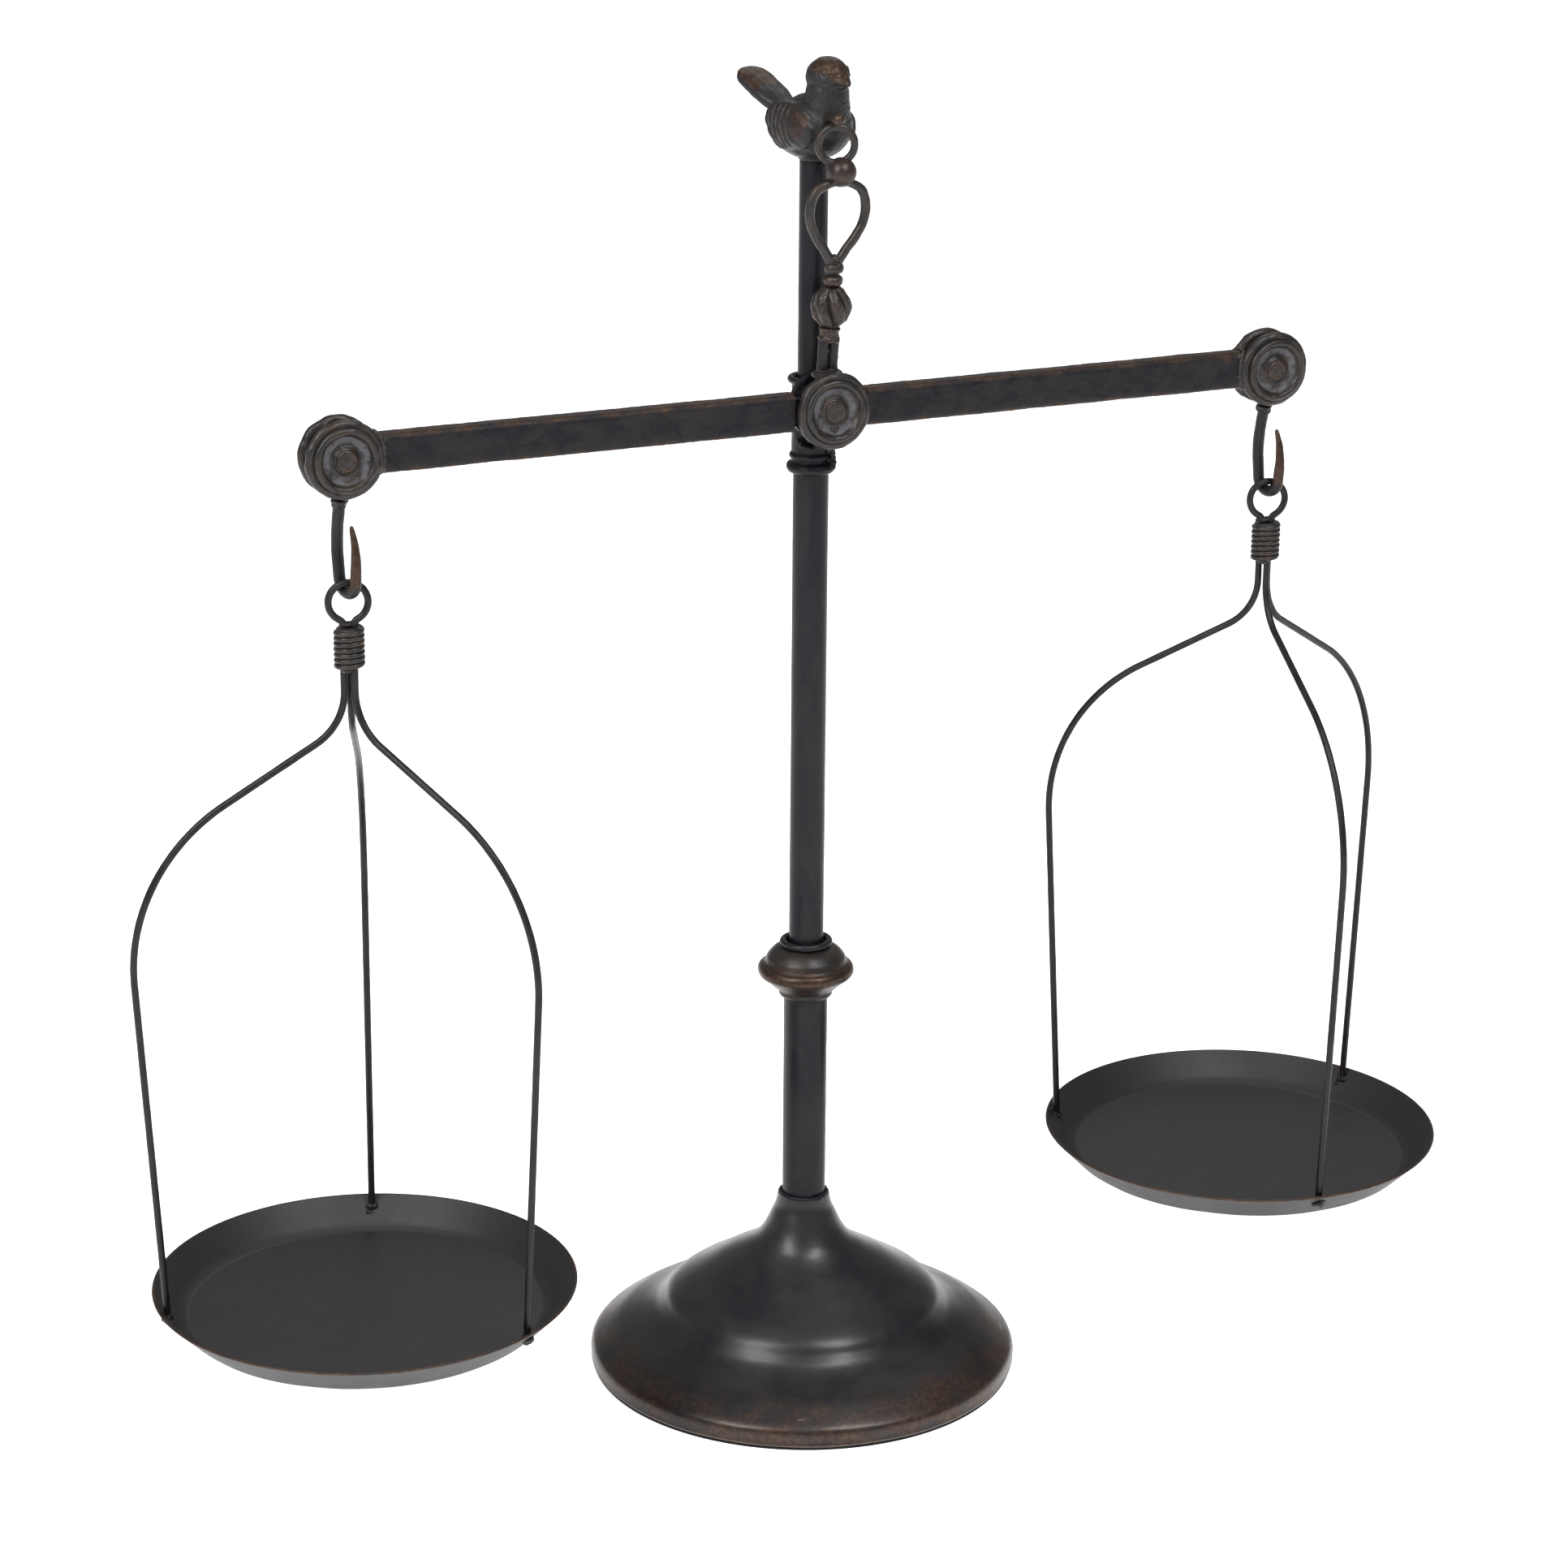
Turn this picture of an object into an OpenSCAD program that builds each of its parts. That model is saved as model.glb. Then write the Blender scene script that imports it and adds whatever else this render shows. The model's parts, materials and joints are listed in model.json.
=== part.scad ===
// Equal arm balance scale on a turned post, with a bird on top.
// Origin: centre of the base on the surface it stands on. +Z up, the beam runs along X,
// and the hubs, hooks and pans are in front of the post, towards -Y.

/* [Base and post] */
// Diameter of the base
base_d = 190; // [170:1:210]
// Height of the base's neck rim
neck_z = 80; // [76:1:86]
// Wall of the base shell
base_wall = 2.2; // [1.5:0.1:3]
// Diameter of the lower tube
lower_tube_d = 19; // [18:0.5:20]
// Diameter of the middle tube
mid_tube_d = 15; // [14:0.5:16]
// Diameter of the upper tube
upper_tube_d = 12; // [11:0.5:12.5]
// Wall of the three post tubes
tube_wall = 1.3; // [1:0.1:1.4]
// Height of the knop's widest line
knop_z = 186; // [170:1:200]
// Largest diameter of the knop
knop_d = 42; // [36:1:48]
// Height of the top of the upper tube
post_top_z = 540; // [535:1:550]

/* [Beam] */
// Height of the central pivot pin
pivot_z = 439.5; // [430:0.5:445]
// How far the end pins lie below the central pin
end_drop = 1; // [0.5:0.5:3]
// Distance from the central pin to each end pin
arm_len = 212; // [190:1:230]
// Distance of the beam's middle plane in front of the post's axis
beam_off = 15; // [15:0.5:17]
// Height of the beam tube
beam_h = 16.4; // [14:0.1:17]
// Thickness of the beam tube
beam_t = 9; // [8:0.1:9]
// Diameter of the three hubs
hub_d = 32.6; // [30:0.2:36]
// Diameter of the pivot pins
pin_d = 6; // [5:0.5:6]

/* [Hooks and pans] */
// Diameter of the hook wire
hook_d = 5; // [4:0.5:5]
// Depth of the hook's wire centre line below its pin
hook_drop = 54.5; // [50:0.5:60]
// Diameter of the wire in the pan ring and the pan arms
wire_d = 3; // [2.5:0.5:3]
// Outer diameter of the pan ring
ring_d = 19; // [18:0.5:20]
// Diameter of the pan's rim
pan_d = 178; // [160:1:186]
// Depth of the pan, from its rim to its underside
pan_depth = 13.5; // [10:0.5:16]
// Height of the pan's rim
rim_z = 85; // [80:1:95]
// Thickness of the pan's sheet
pan_wall = 1.2; // [1:0.1:1.5]
// Largest distance of the pan arms from the pan's axis
arm_bulge = 92.5; // [90:0.5:95]
// Direction of the left pan's first arm
left_turn = 69; // [40:1:80]
// Direction of the right pan's first arm
right_turn = 24; // [10:1:40]

/* [Hanger and bird] */
// Forward lean of the hanger
lean = 4.2; // [3:0.1:5]
// Sideways lean of the hanger, to the right
side_lean = 1.5; // [0:0.1:2]
// Diameter of the hanger's ball
ball_d = 12.2; // [11:0.1:13]
// Outer diameter of the hanger's top ring
top_ring_d = 18.2; // [17:0.2:19]
// Direction in which the bird looks, from straight ahead
bird_turn = 15; // [0:1:20]
// Radius of the bird's head
head_r = 8.6; // [8:0.1:9]

/* [Hidden] */
$fn = 64;

black = [0.07, 0.07, 0.08];
bronze = [0.26, 0.16, 0.10];
felt = [0.03, 0.03, 0.03];

fit = 0.05;                     // running clearance on a pin, on the radius
slip = 0.05;                    // clearance between telescoped tubes, on the radius
side_gap = 0.35;                // gap beside a piece that turns
base_r = base_d / 2;
felt_t = 1.2;
plate_t = 1.6;
skirt_z = 8.7;                  // height of the base's upright edge
lower_r = lower_tube_d / 2;
mid_r = mid_tube_d / 2;
upper_r = upper_tube_d / 2;
collar_z = 408.6;               // underside of the collar
sleeve_r = 8.3;
sleeve_top_z = 447;
hub_r = hub_d / 2;
pin_r = pin_d / 2;
bore_r = pin_r + fit;
end_z = pivot_z - end_drop;
eye_t = beam_t - 0.4;           // thickness of the beam's central eye
eye_r = 12;
cheek_y = eye_t / 2 + side_gap; // inner face of a cheek, from the beam's middle plane
cheek_h = 5.5;                  // depth of the central front disc
groove = 4.9;                   // space between an end hub's two discs
disc_h = 6.4;                   // depth of an end disc
hook_eye_t = groove - 2 * side_gap;
tube_end = 17.5;                // distance of a beam tube's inner end from the central pin
seat = 13;                      // how far a beam tube's tongue reaches into it
hook_out = 4.5;                 // how far the ring hangs in front of the beam's middle plane
hook_bend = 6;                  // radius of the hook's bend
hook_turn = 14;                 // turn of the hook's plane about the ring
hang_y = -(beam_off + hook_out);
ring_mid = (ring_d - wire_d) / 2;
ring_top_z = end_z - hook_drop + hook_d / 2 + wire_d / 2 + 0.3;
ring_z = ring_top_z - ring_mid;
wrap_top_z = ring_z - ring_d / 2;
wrap_h = 18.4;
wrap_d = 12.7;
wrap_turns = 8;
bundle_r = wire_d * 0.83;       // distance of each arm from the axis inside the wrap
arm_turn = 61;                  // turn of each of an arm's two bends
arm_lean = 3;                   // inward lean of an arm's straight foot
shoulder_r = 78;                // radius of an arm's outer bend
throat_r = 24;                  // radius of an arm's inner bend
pan_r = pan_d / 2;
floor_r = pan_r - pan_depth + pan_wall;
foot_r = pan_r - 4.6;           // where an arm's foot meets the pan's wall
foot_z = rim_z - 5.2;
left_arms = [for (a = [0, 107, 233]) left_turn + a];
right_arms = [for (a = [0, 120, 240]) right_turn + a];
hanger_y = -beam_off + 0.5;
hanger_z = pivot_z + hub_r - 1;

function arc(c, r, a0, a1, n = 10) =
    [for (i = [0:n]) c + r * [cos(a0 + (a1 - a0) * i / n), sin(a0 + (a1 - a0) * i / n)]];
function unit(v) = v / norm(v);
// one point of a smooth curve through the points p, between point i and the next
function ease(p, i, t) =
    let (a = p[max(i - 1, 0)], b = p[i], c = p[i + 1], d = p[min(i + 2, len(p) - 1)])
    b + 0.5 * t * (c - a + t * (2 * a - 5 * b + 4 * c - d + t * (3 * b - a - 3 * c + d)));
function curve(p, n = 4) =
    [for (i = [0:len(p) - 2]) for (k = [0:n - 1]) ease(p, i, k / n), p[len(p) - 1]];

// A round rod along a flat path in the XZ plane, with a radius at each point
module rod(path, radii, sides = 10) {
    last = len(path) - 1;
    tangents = [for (i = [0:last]) unit(path[min(i + 1, last)] - path[max(i - 1, 0)])];
    points = [for (i = [0:last]) for (s = [0:sides - 1])
        let (a = 360 * s / sides, across = radii[i] * cos(a), side = radii[i] * sin(a))
        [path[i][0] - tangents[i][1] * across, side, path[i][1] + tangents[i][0] * across]];
    faces = [
        [for (s = [0:sides - 1]) sides - 1 - s],
        [for (s = [0:sides - 1]) last * sides + s],
        for (i = [0:last - 1]) for (s = [0:sides - 1])
            [i * sides + s, i * sides + (s + 1) % sides,
             (i + 1) * sides + (s + 1) % sides, (i + 1) * sides + s]
    ];
    polyhedron(points, faces);
}

module tube(r, wall, z0, z1) {
    translate([0, 0, z0]) difference() {
        cylinder(r = r, h = z1 - z0);
        translate([0, 0, -1]) cylinder(r = r - wall, h = z1 - z0 + 2);
    }
}

module torus(mid, r) {
    rotate_extrude() translate([mid, 0]) circle(r);
}

// Turns a shape's axis from +Z to -Y, towards the front
module forward() {
    rotate([90, 0, 0]) children();
}

// ---- base

function base_outline(inset) =
    let (r = base_r, k = base_r / 95)
    curve([[11.4, neck_z], [12.4, neck_z - 5], [14.2, neck_z - 9.2], [17.4, neck_z - 16],
           [21.6, 58.2], [28, 53.2], [37, 47.8], [46 * k, 42.2], [55 * k, 36.6], [59.6 * k, 33],
           [62.6 * k, 29], [66 * k, 25.4], [71 * k, 22.2], [77 * k, 19.4], [83 * k, 16.6],
           [89 * k, 12.9], [93 * k, 10.1], [r - 0.5, skirt_z - 0.4], [r, skirt_z - 2.4]]);

module base_shell() {
    outer = base_outline();
    inner = [for (p = outer) if (p[0] < base_r - 2) p - [base_wall * 0.45, base_wall * 1.05]];
    color(black) rotate_extrude(convexity = 6) polygon(concat(
        [[lower_r + slip, neck_z]], outer, [[base_r, felt_t + 1.4], [base_r - 0.8, felt_t]],
        [[base_r - base_wall, felt_t]],
        [[base_r - base_wall, skirt_z - 3.2]],
        [for (i = [len(inner) - 1:-1:9]) inner[i]],
        [[lower_r + slip, 52]]));
}

module base_plate() {
    color(black) translate([0, 0, felt_t]) difference() {
        cylinder(r = base_r - base_wall - 0.1, h = plate_t);
        translate([0, 0, -1]) cylinder(r = 4, h = plate_t + 2);
    }
}

module felt_pad() {
    color(felt) cylinder(r = base_r - 1, h = felt_t);
}

module neck_weld() {
    color(black) translate([0, 0, neck_z]) rotate_extrude() polygon(concat(
        [[lower_r + 0.02, 0]], arc([lower_r + 0.9, 0], 0.95, 0, 115, 8)));
}

// ---- post

module lower_tube() {
    color(black) tube(lower_r, tube_wall, 53, knop_z - 12);
}

module knop() {
    r = knop_d / 2;
    color(bronze) translate([0, 0, knop_z]) rotate_extrude() polygon(concat(
        [[mid_r + slip, -17]], [[lower_r - tube_wall - slip, -17], [lower_r - tube_wall - slip, -12]],
        [[lower_r + 0.3, -12], [lower_r + 1.9, -12], [lower_r + 2.4, -10.8]],
        [[lower_r + 2.3, -9.6], [lower_r + 3.1, -8.6]],
        [[r - 6.8, -7.4], [r - 4.8, -5.6], [r - 4.1, -4.9], [r - 3.4, -4.4]],
        arc([r - 3.2, -0.3], 3.2, -70, 70, 10),
        [[r - 3, 3.6]],
        curve([[r - 3.4, 4.6], [r - 4.2, 6.4], [r - 6.4, 8.8], [r - 8.6, 10.2],
               [lower_r + 0.7, 10.8]], 3),
        [[mid_r + slip, 10.8]]));
}

module knop_ring() {
    color(black) translate([0, 0, knop_z + 12.5]) torus(mid_r + 2.5, 1.6);
}

module mid_tube() {
    color(black) tube(mid_r, tube_wall, knop_z - 60, sleeve_top_z - 1);
}

module collar() {
    color(black) translate([0, 0, collar_z]) rotate_extrude() polygon(concat(
        [[mid_r + 0.02, 0], [mid_r + 0.8, 0]],
        arc([mid_r + 0.5, 2.6], 2.4, -75, 75, 10),
        [[sleeve_r - 0.1, 5.6]],
        arc([sleeve_r - 0.8, 7.6], 1.7, -60, 60, 8),
        [[sleeve_r, 9.6], [sleeve_r, sleeve_top_z - collar_z],
         [mid_r + 0.02, sleeve_top_z - collar_z]]));
}

module collar_ring() {
    color(black) translate([0, 0, sleeve_top_z + 1.65]) torus(sleeve_r + 0.35, 1.6);
}

// Weld runs that hold the rear cheek to the collar
module collar_weld() {
    color(black) for (side = [-1, 1]) translate([side * 4.2, -sleeve_r - 0.6, collar_z + 14])
        sphere(r = 2.3);
}

module upper_tube() {
    color(black) tube(upper_r, tube_wall, 380, post_top_z);
}

// ---- hubs

// Half outline of a hub disc: axial distance from its inner face against radius
module disc(h, bore, boss = 5.2) {
    rotate_extrude() polygon(concat(
        [[bore, 0], [hub_r - 1.6, 0]],
        arc([hub_r - 2.2, 2.2], 2.2, -70, 78, 10),
        [[hub_r - 2.5, 4.5]],
        arc([hub_r - 4.2, h - 1.4], 1.4, 20, 160, 8),
        [[hub_r - 6.4, h - 2.3], [boss + 0.8, h - 2.7], [boss, h - 1.9], [boss - 1.4, h - 1.4],
         [bore, h - 1.4]]));
}

// A riveted pin: shank along +Z from 0, with a low head at each end asked for
module rivet(length, front_head = true, back_head = true) {
    head_r = 4.5;
    rotate_extrude() polygon(concat(
        [[0, back_head ? -1.1 : 0]],
        back_head ? [[head_r - 0.6, -1.1], [head_r, -0.5], [head_r, 0]] : [],
        [[pin_r, 0], [pin_r, length]],
        front_head ? [[head_r, length], [head_r, length + 0.5], [head_r - 0.6, length + 1.1]] : [],
        [[0, length + (front_head ? 1.1 : 0)]]));
}

module at_pivot() {
    translate([0, -beam_off, pivot_z]) children();
}

module at_end(side) {
    translate([side * arm_len, -beam_off, end_z]) children();
}

// Disc that holds the pivot pin behind the beam, with a slot that the collar's ring passes through
module rear_cheek() {
    back = beam_off - sleeve_r - cheek_y;
    color(black) difference() {
        union() {
            at_pivot() translate([0, cheek_y, 0]) rotate([-90, 0, 0])
                cylinder(r = hub_r - 2, h = back + 1);
            translate([-sleeve_r + 1, -sleeve_r - 1, pivot_z - hub_r + 3])
                cube([2 * sleeve_r - 2, 5, 2 * hub_r - 9]);
        }
        translate([0, 0, pivot_z - 30]) cylinder(r = sleeve_r + 0.02, h = 60);
        at_pivot() rotate([-90, 0, 0]) cylinder(r = pin_r + 0.01, h = beam_off - sleeve_r + 1);
        translate([-7.6, -sleeve_r - 5, sleeve_top_z - 0.1]) cube([15.2, 10.2, 3.6]);
    }
}

module front_cheek() {
    color(bronze) at_pivot() translate([0, -cheek_y, 0]) forward() disc(cheek_h, pin_r + 0.01);
}

module pivot_pin() {
    back = beam_off - sleeve_r - 0.1;
    color(bronze) at_pivot() translate([0, back, 0]) forward()
        rivet(back + cheek_y + cheek_h - 1.4, true, false);
}

module hub_front(side) {
    color(bronze) at_end(side) translate([0, -groove / 2, 0]) forward()
        disc(disc_h, pin_r + 0.01);
}

// Rear disc of an end hub, with the block that the beam tube is welded to
module hub_rear(side) {
    color(bronze) at_end(side) {
        translate([0, groove / 2, 0]) rotate([-90, 0, 0]) disc(disc_h, pin_r + 0.01);
        intersection() {
            rotate([90, 0, 0]) difference() {
                cylinder(r = hub_r - 1.8, h = groove, center = true);
                cylinder(r = 9, h = groove + 2, center = true);
            }
            translate([-side * 15, 0, 0]) cube([16, groove, 18], center = true);
        }
    }
}

module end_pin(side) {
    reach = groove / 2 + disc_h - 1.4;
    color(bronze) at_end(side) translate([0, reach, 0]) forward() rivet(2 * reach);
}

// ---- beam

module beam_section(h, t, r) {
    square([h - 2 * r, t], center = true);
    square([h, t - 2 * r], center = true);
    for (x = [-1, 1]) for (y = [-1, 1])
        translate([x * (h / 2 - r), y * (t / 2 - r)]) circle(r);
}

module beam_tube(side) {
    length = arm_len - tube_end - hub_r + 4;
    color(black) difference() {
        translate([side * tube_end, -beam_off, (pivot_z + end_z) / 2]) rotate([0, side * 90, 0])
            linear_extrude(length) difference() {
                beam_section(beam_h, beam_t, 3.6);
                beam_section(beam_h - 3, beam_t - 3, 2.2);
            }
        at_end(side) rotate([90, 0, 0]) cylinder(r = hub_r + 0.02, h = 30, center = true);
    }
}

module end_weld(side) {
    color(bronze) at_end(side) for (y = [-1, 1]) for (z = [-1, 1])
        translate([-side * (hub_r - 1.2), y * (beam_t / 2 - 0.6), z * (beam_h / 2 - 0.9)])
            sphere(r = 1.9);
}

module beam_eye() {
    color(black) difference() {
        union() {
            at_pivot() rotate([90, 0, 0]) cylinder(r = eye_r, h = eye_t, center = true);
            for (side = [-1, 1])
                translate([side * 20, -beam_off, (pivot_z + end_z) / 2])
                    cube([20, beam_t - 4, beam_h - 5], center = true);
        }
        at_pivot() rotate([90, 0, 0]) cylinder(r = bore_r, h = eye_t + 2, center = true);
    }
}

// ---- hanger, in its own leaning frame with its foot on top of the central hub

module hanger_frame() {
    translate([0, hanger_y, hanger_z]) rotate([lean, side_lean, 0]) children();
}

leg_x = 2.4;
leg_r = 2.25;
ferrule_z = 13.5;
knob_z = 27.5;
caps_z = 36;
loop_z = 46.5;
loop_top_z = 80;
ball_z = 84;
top_ring_r = 1.65;
top_ring_mid = top_ring_d / 2 - top_ring_r;
top_ring_z = 95.1;
top_ring_turn = -18;
top_ring_x = -2.6;

// Weld bridge from the front disc to the rear cheek, over the beam's eye
module hanger_bridge() {
    color(bronze) at_pivot() difference() {
        translate([0, 0, eye_r + 2.6]) cube([13, 2 * cheek_y + 1.4, 4.2], center = true);
        rotate([90, 0, 0]) cylinder(r = eye_r + 0.5, h = 30, center = true);
        for (side = [-1, 1]) translate([0, side * (cheek_y + 5), 0]) rotate([90, 0, 0])
            cylinder(r = hub_r + 0.2, h = 10, center = true);
    }
}

module hanger_legs() {
    color(black) hanger_frame() for (side = [-1, 1])
        translate([side * leg_x, 0, 1.2]) cylinder(r = leg_r, h = ferrule_z - 1.25);
}

module hanger_ferrule() {
    color(bronze) hanger_frame() translate([0, 0, ferrule_z]) rotate_extrude() polygon([
        [0, 0], [4.4, 0], [4.7, 0.8], [4, 1.6], [4, 4.2], [4.5, 4.8], [3.8, 5.4], [0, 5.4]]);
}

module hanger_knob() {
    color(bronze) hanger_frame() translate([0, 0, knob_z]) rotate_extrude() polygon(concat(
        [[0, -8.4], [3.4, -8.4]], curve([[4, -7.8], [7.2, -5], [8.5, 0], [7.2, 5], [4, 7.8]], 5),
        [[3, 8.4], [0, 8.4]]));
}

module hanger_caps() {
    color(bronze) hanger_frame() translate([0, 0, caps_z]) rotate_extrude() polygon(concat(
        [[0, 0], [2.2, 0]], arc([1.8, 2.6], 2.4, -80, 80, 8), arc([1.8, 7.8], 2.4, -80, 80, 8),
        [[2.2, 10.4], [0, 10.4]]));
}

function loop_path() = curve([[1.6, loop_z], [4.6, 51], [9, 57], [12, 63.5], [12.4, 70],
    [10.2, 76], [5.6, loop_top_z - 1.2], [1.6, loop_top_z]], 4);

module hanger_loop() {
    path = loop_path();
    color(black) hanger_frame() for (side = [0, 1]) mirror([side, 0, 0])
        rod(path, [for (p = path) 2.1], 10);
}

module hanger_ball() {
    color(bronze) hanger_frame() translate([0, -1.2, ball_z]) sphere(r = ball_d / 2);
}

module hanger_ring() {
    color(bronze) hanger_frame() translate([top_ring_x, 0, top_ring_z])
        rotate([90, 0, top_ring_turn]) torus(top_ring_mid, top_ring_r);
}

// ---- bird, in its own frame: X runs from tail to beak, origin at the tube's top

module bird_frame() {
    translate([0, 0, post_top_z]) rotate([0, 0, -90 + bird_turn]) children();
}

module bird_body() {
    translate([2, 0, 14.5]) rotate([0, -100, 0]) rotate_extrude() polygon(curve([
        [0, -15.5], [7, -13.4], [12, -7.5], [13.8, 0], [13, 9], [9.5, 18], [5, 24.5], [0, 27]], 3));
    translate([8, 0, 26]) rotate([0, 8, 0]) translate([0, 0, -10]) cylinder(
        r1 = 10.4, r2 = 8, h = 14);
    translate([0, 0, -7]) cylinder(r = upper_r - tube_wall - 0.1, h = 12);
    translate([0, 0, 0.02]) cylinder(r1 = upper_r + 0.4, r2 = 8.8, h = 6);
}

module bird_head() {
    long = head_r * 1.14;
    translate([8.2, 0, 34.9]) {
        rotate([0, 90, 0]) rotate_extrude() polygon(curve([[0, -long], [head_r * 0.54, -long * 0.84],
            [head_r * 0.88, -long * 0.47], [head_r, 0], [head_r * 0.88, long * 0.47],
            [head_r * 0.54, long * 0.84], [0, long]], 3));
        rotate([0, 98, 0]) cylinder(r1 = 5.6, r2 = 0.7, h = 14);
    }
}

module bird_tail() {
    translate([-16, 0, 17.6]) rotate([0, 27, 0]) rotate([0, 0, 180]) translate([0, 0, -2.7])
        linear_extrude(5.4) polygon(concat(
            [[0, -5], [14, -7.8]], arc([24, 0], 8.6, -70, 70, 10), [[14, 7.8], [0, 5]]));
}

module bird() {
    color(bronze) bird_frame() {
        bird_body();
        bird_head();
        bird_tail();
    }
}

module bird_peg() {
    reach = top_ring_z + top_ring_mid + top_ring_r;
    color(bronze) translate([reach * sin(side_lean) + top_ring_x - 1.7,
                             hanger_y - reach * sin(lean), hanger_z + reach * cos(lean) + 1.2]) {
        translate([0, 10, 0]) forward() cylinder(r = 1.6, h = 13);
        translate([0, -4.3, 0.8]) sphere(r = 2.6);
    }
}

// ---- hooks and pans

// The hook's centre line in its own plane: how far out in front, then height above the pin
function hook_path() = concat(
    curve([[0, -5.2], [0, -16], [-0.6, -21], [-2, -29], [-2.5, -37], [-2.1, -43]], 3),
    arc([hook_out, -hook_drop + hook_bend], hook_bend, 186, 352, 12),
    curve([[10.9, -44], [11, -38.5], [10.2, -32.5], [8.4, -27]], 3));

module hook(side) {
    path = hook_path();
    n = len(path) - 1;
    neck = hook_eye_t / 2 - 0.15;
    r = hook_d / 2;
    radii = [for (i = [0:n]) i < 5 ? neck : i < n - 9 ? r : r - (r - 0.8) * pow((i - n + 9) / 9, 1.5)];
    color(black) at_end(side) {
        difference() {
            rotate([90, 0, 0]) cylinder(r = 6.2, h = hook_eye_t, center = true);
            rotate([90, 0, 0]) cylinder(r = bore_r, h = hook_eye_t + 2, center = true);
        }
        translate([0, -hook_out, 0]) rotate([0, 0, hook_turn - 90]) translate([-hook_out, 0, 0]) {
            rod(path, radii, 12);
            translate([0, 0, -hub_r - 3.6]) cylinder(r1 = 2.6, r2 = 3.7, h = 3);
        }
    }
}

module at_pan(side) {
    translate([side * arm_len, hang_y, 0]) children();
}

module pan_ring(side) {
    color(black) at_pan(side) translate([0, 0, ring_z]) rotate([90, 0, -12])
        torus(ring_mid, wire_d / 2);
}

module wrap(side) {
    pitch = wrap_h / wrap_turns;
    color(bronze) at_pan(side) translate([0, 0, wrap_top_z - wrap_h]) difference() {
        rotate_extrude() polygon(concat([[0, 0]],
            [for (i = [0:wrap_turns - 1]) for (p = arc(
                [wrap_d / 2 - pitch / 2, (i + 0.5) * pitch], pitch / 2, -80, 80, 4)) p],
            [[0, wrap_h]]));
        translate([0, 0, -1]) cylinder(r = bundle_r + wire_d / 2 + 0.02, h = wrap_h - 3);
    }
}

function arm_path() = concat(
    [[bundle_r, wrap_top_z - 5], [bundle_r, wrap_top_z - wrap_h + 1]],
    arc([bundle_r + throat_r, wrap_top_z - wrap_h - 9], throat_r, 180, 180 + arm_turn, 7),
    arc([arm_bulge - shoulder_r, rim_z + 148], shoulder_r, arm_turn, -arm_lean, 14),
    [[foot_r, foot_z]]);

module arm(side, turn) {
    path = arm_path();
    color(black) at_pan(side) rotate([0, 0, turn]) rod(path, [for (p = path) wire_d / 2], 8);
}

module dish(side) {
    color(black) at_pan(side) translate([0, 0, rim_z]) rotate_extrude() polygon([
        [0, -pan_depth], [floor_r - 1.5, -pan_depth], [floor_r, -pan_depth + 0.5],
        [pan_r, -0.7], [pan_r, -0.2], [pan_r - 0.6, 0], [pan_r - 1.2, -0.4],
        [floor_r - 0.8, -pan_depth + pan_wall + 0.4], [floor_r - 2, -pan_depth + pan_wall],
        [0, -pan_depth + pan_wall]]);
}

module arm_welds(side, turns) {
    color(black) at_pan(side) for (turn = turns) rotate([0, 0, turn])
        translate([foot_r, 0, foot_z]) sphere(r = 2.3);
}

base_shell();
base_plate();
felt_pad();
neck_weld();
lower_tube();
knop();
knop_ring();
mid_tube();
collar();
collar_ring();
collar_weld();
upper_tube();
rear_cheek();
front_cheek();
pivot_pin();
hanger_bridge();
hanger_legs();
hanger_ferrule();
hanger_knob();
hanger_caps();
hanger_loop();
hanger_ball();
hanger_ring();
bird();
bird_peg();
beam_eye();
beam_tube(-1);  // left_beam_tube
hub_front(-1);  // left_hub_front
hub_rear(-1);  // left_hub_rear
end_pin(-1);  // left_end_pin
end_weld(-1);  // left_end_weld
beam_tube(1);  // right_beam_tube
hub_front(1);  // right_hub_front
hub_rear(1);  // right_hub_rear
end_pin(1);  // right_end_pin
end_weld(1);  // right_end_weld
hook(-1);  // left_hook
pan_ring(-1);  // left_pan_ring
wrap(-1);  // left_wrap
arm(-1, left_arms[0]);  // left_arm_rear
arm(-1, left_arms[1]);  // left_arm_outer
arm(-1, left_arms[2]);  // left_arm_front
dish(-1);  // left_dish
arm_welds(-1, left_arms);  // left_arm_welds
hook(1);  // right_hook
pan_ring(1);  // right_pan_ring
wrap(1);  // right_wrap
arm(1, right_arms[0]);  // right_arm_rear
arm(1, right_arms[1]);  // right_arm_outer
arm(1, right_arms[2]);  // right_arm_front
dish(1);  // right_dish
arm_welds(1, right_arms);  // right_arm_welds
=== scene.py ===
"""Equal arm balance scale in blackened and bronzed metal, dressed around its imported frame.

Lengths inside the shape functions are millimetres in the frame's own axes; meshes are in metres.
A shape is a pair of arrays: points (n, 3) and quads (m, 4), where a repeated corner makes a
triangle.
"""

import json
import math

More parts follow.
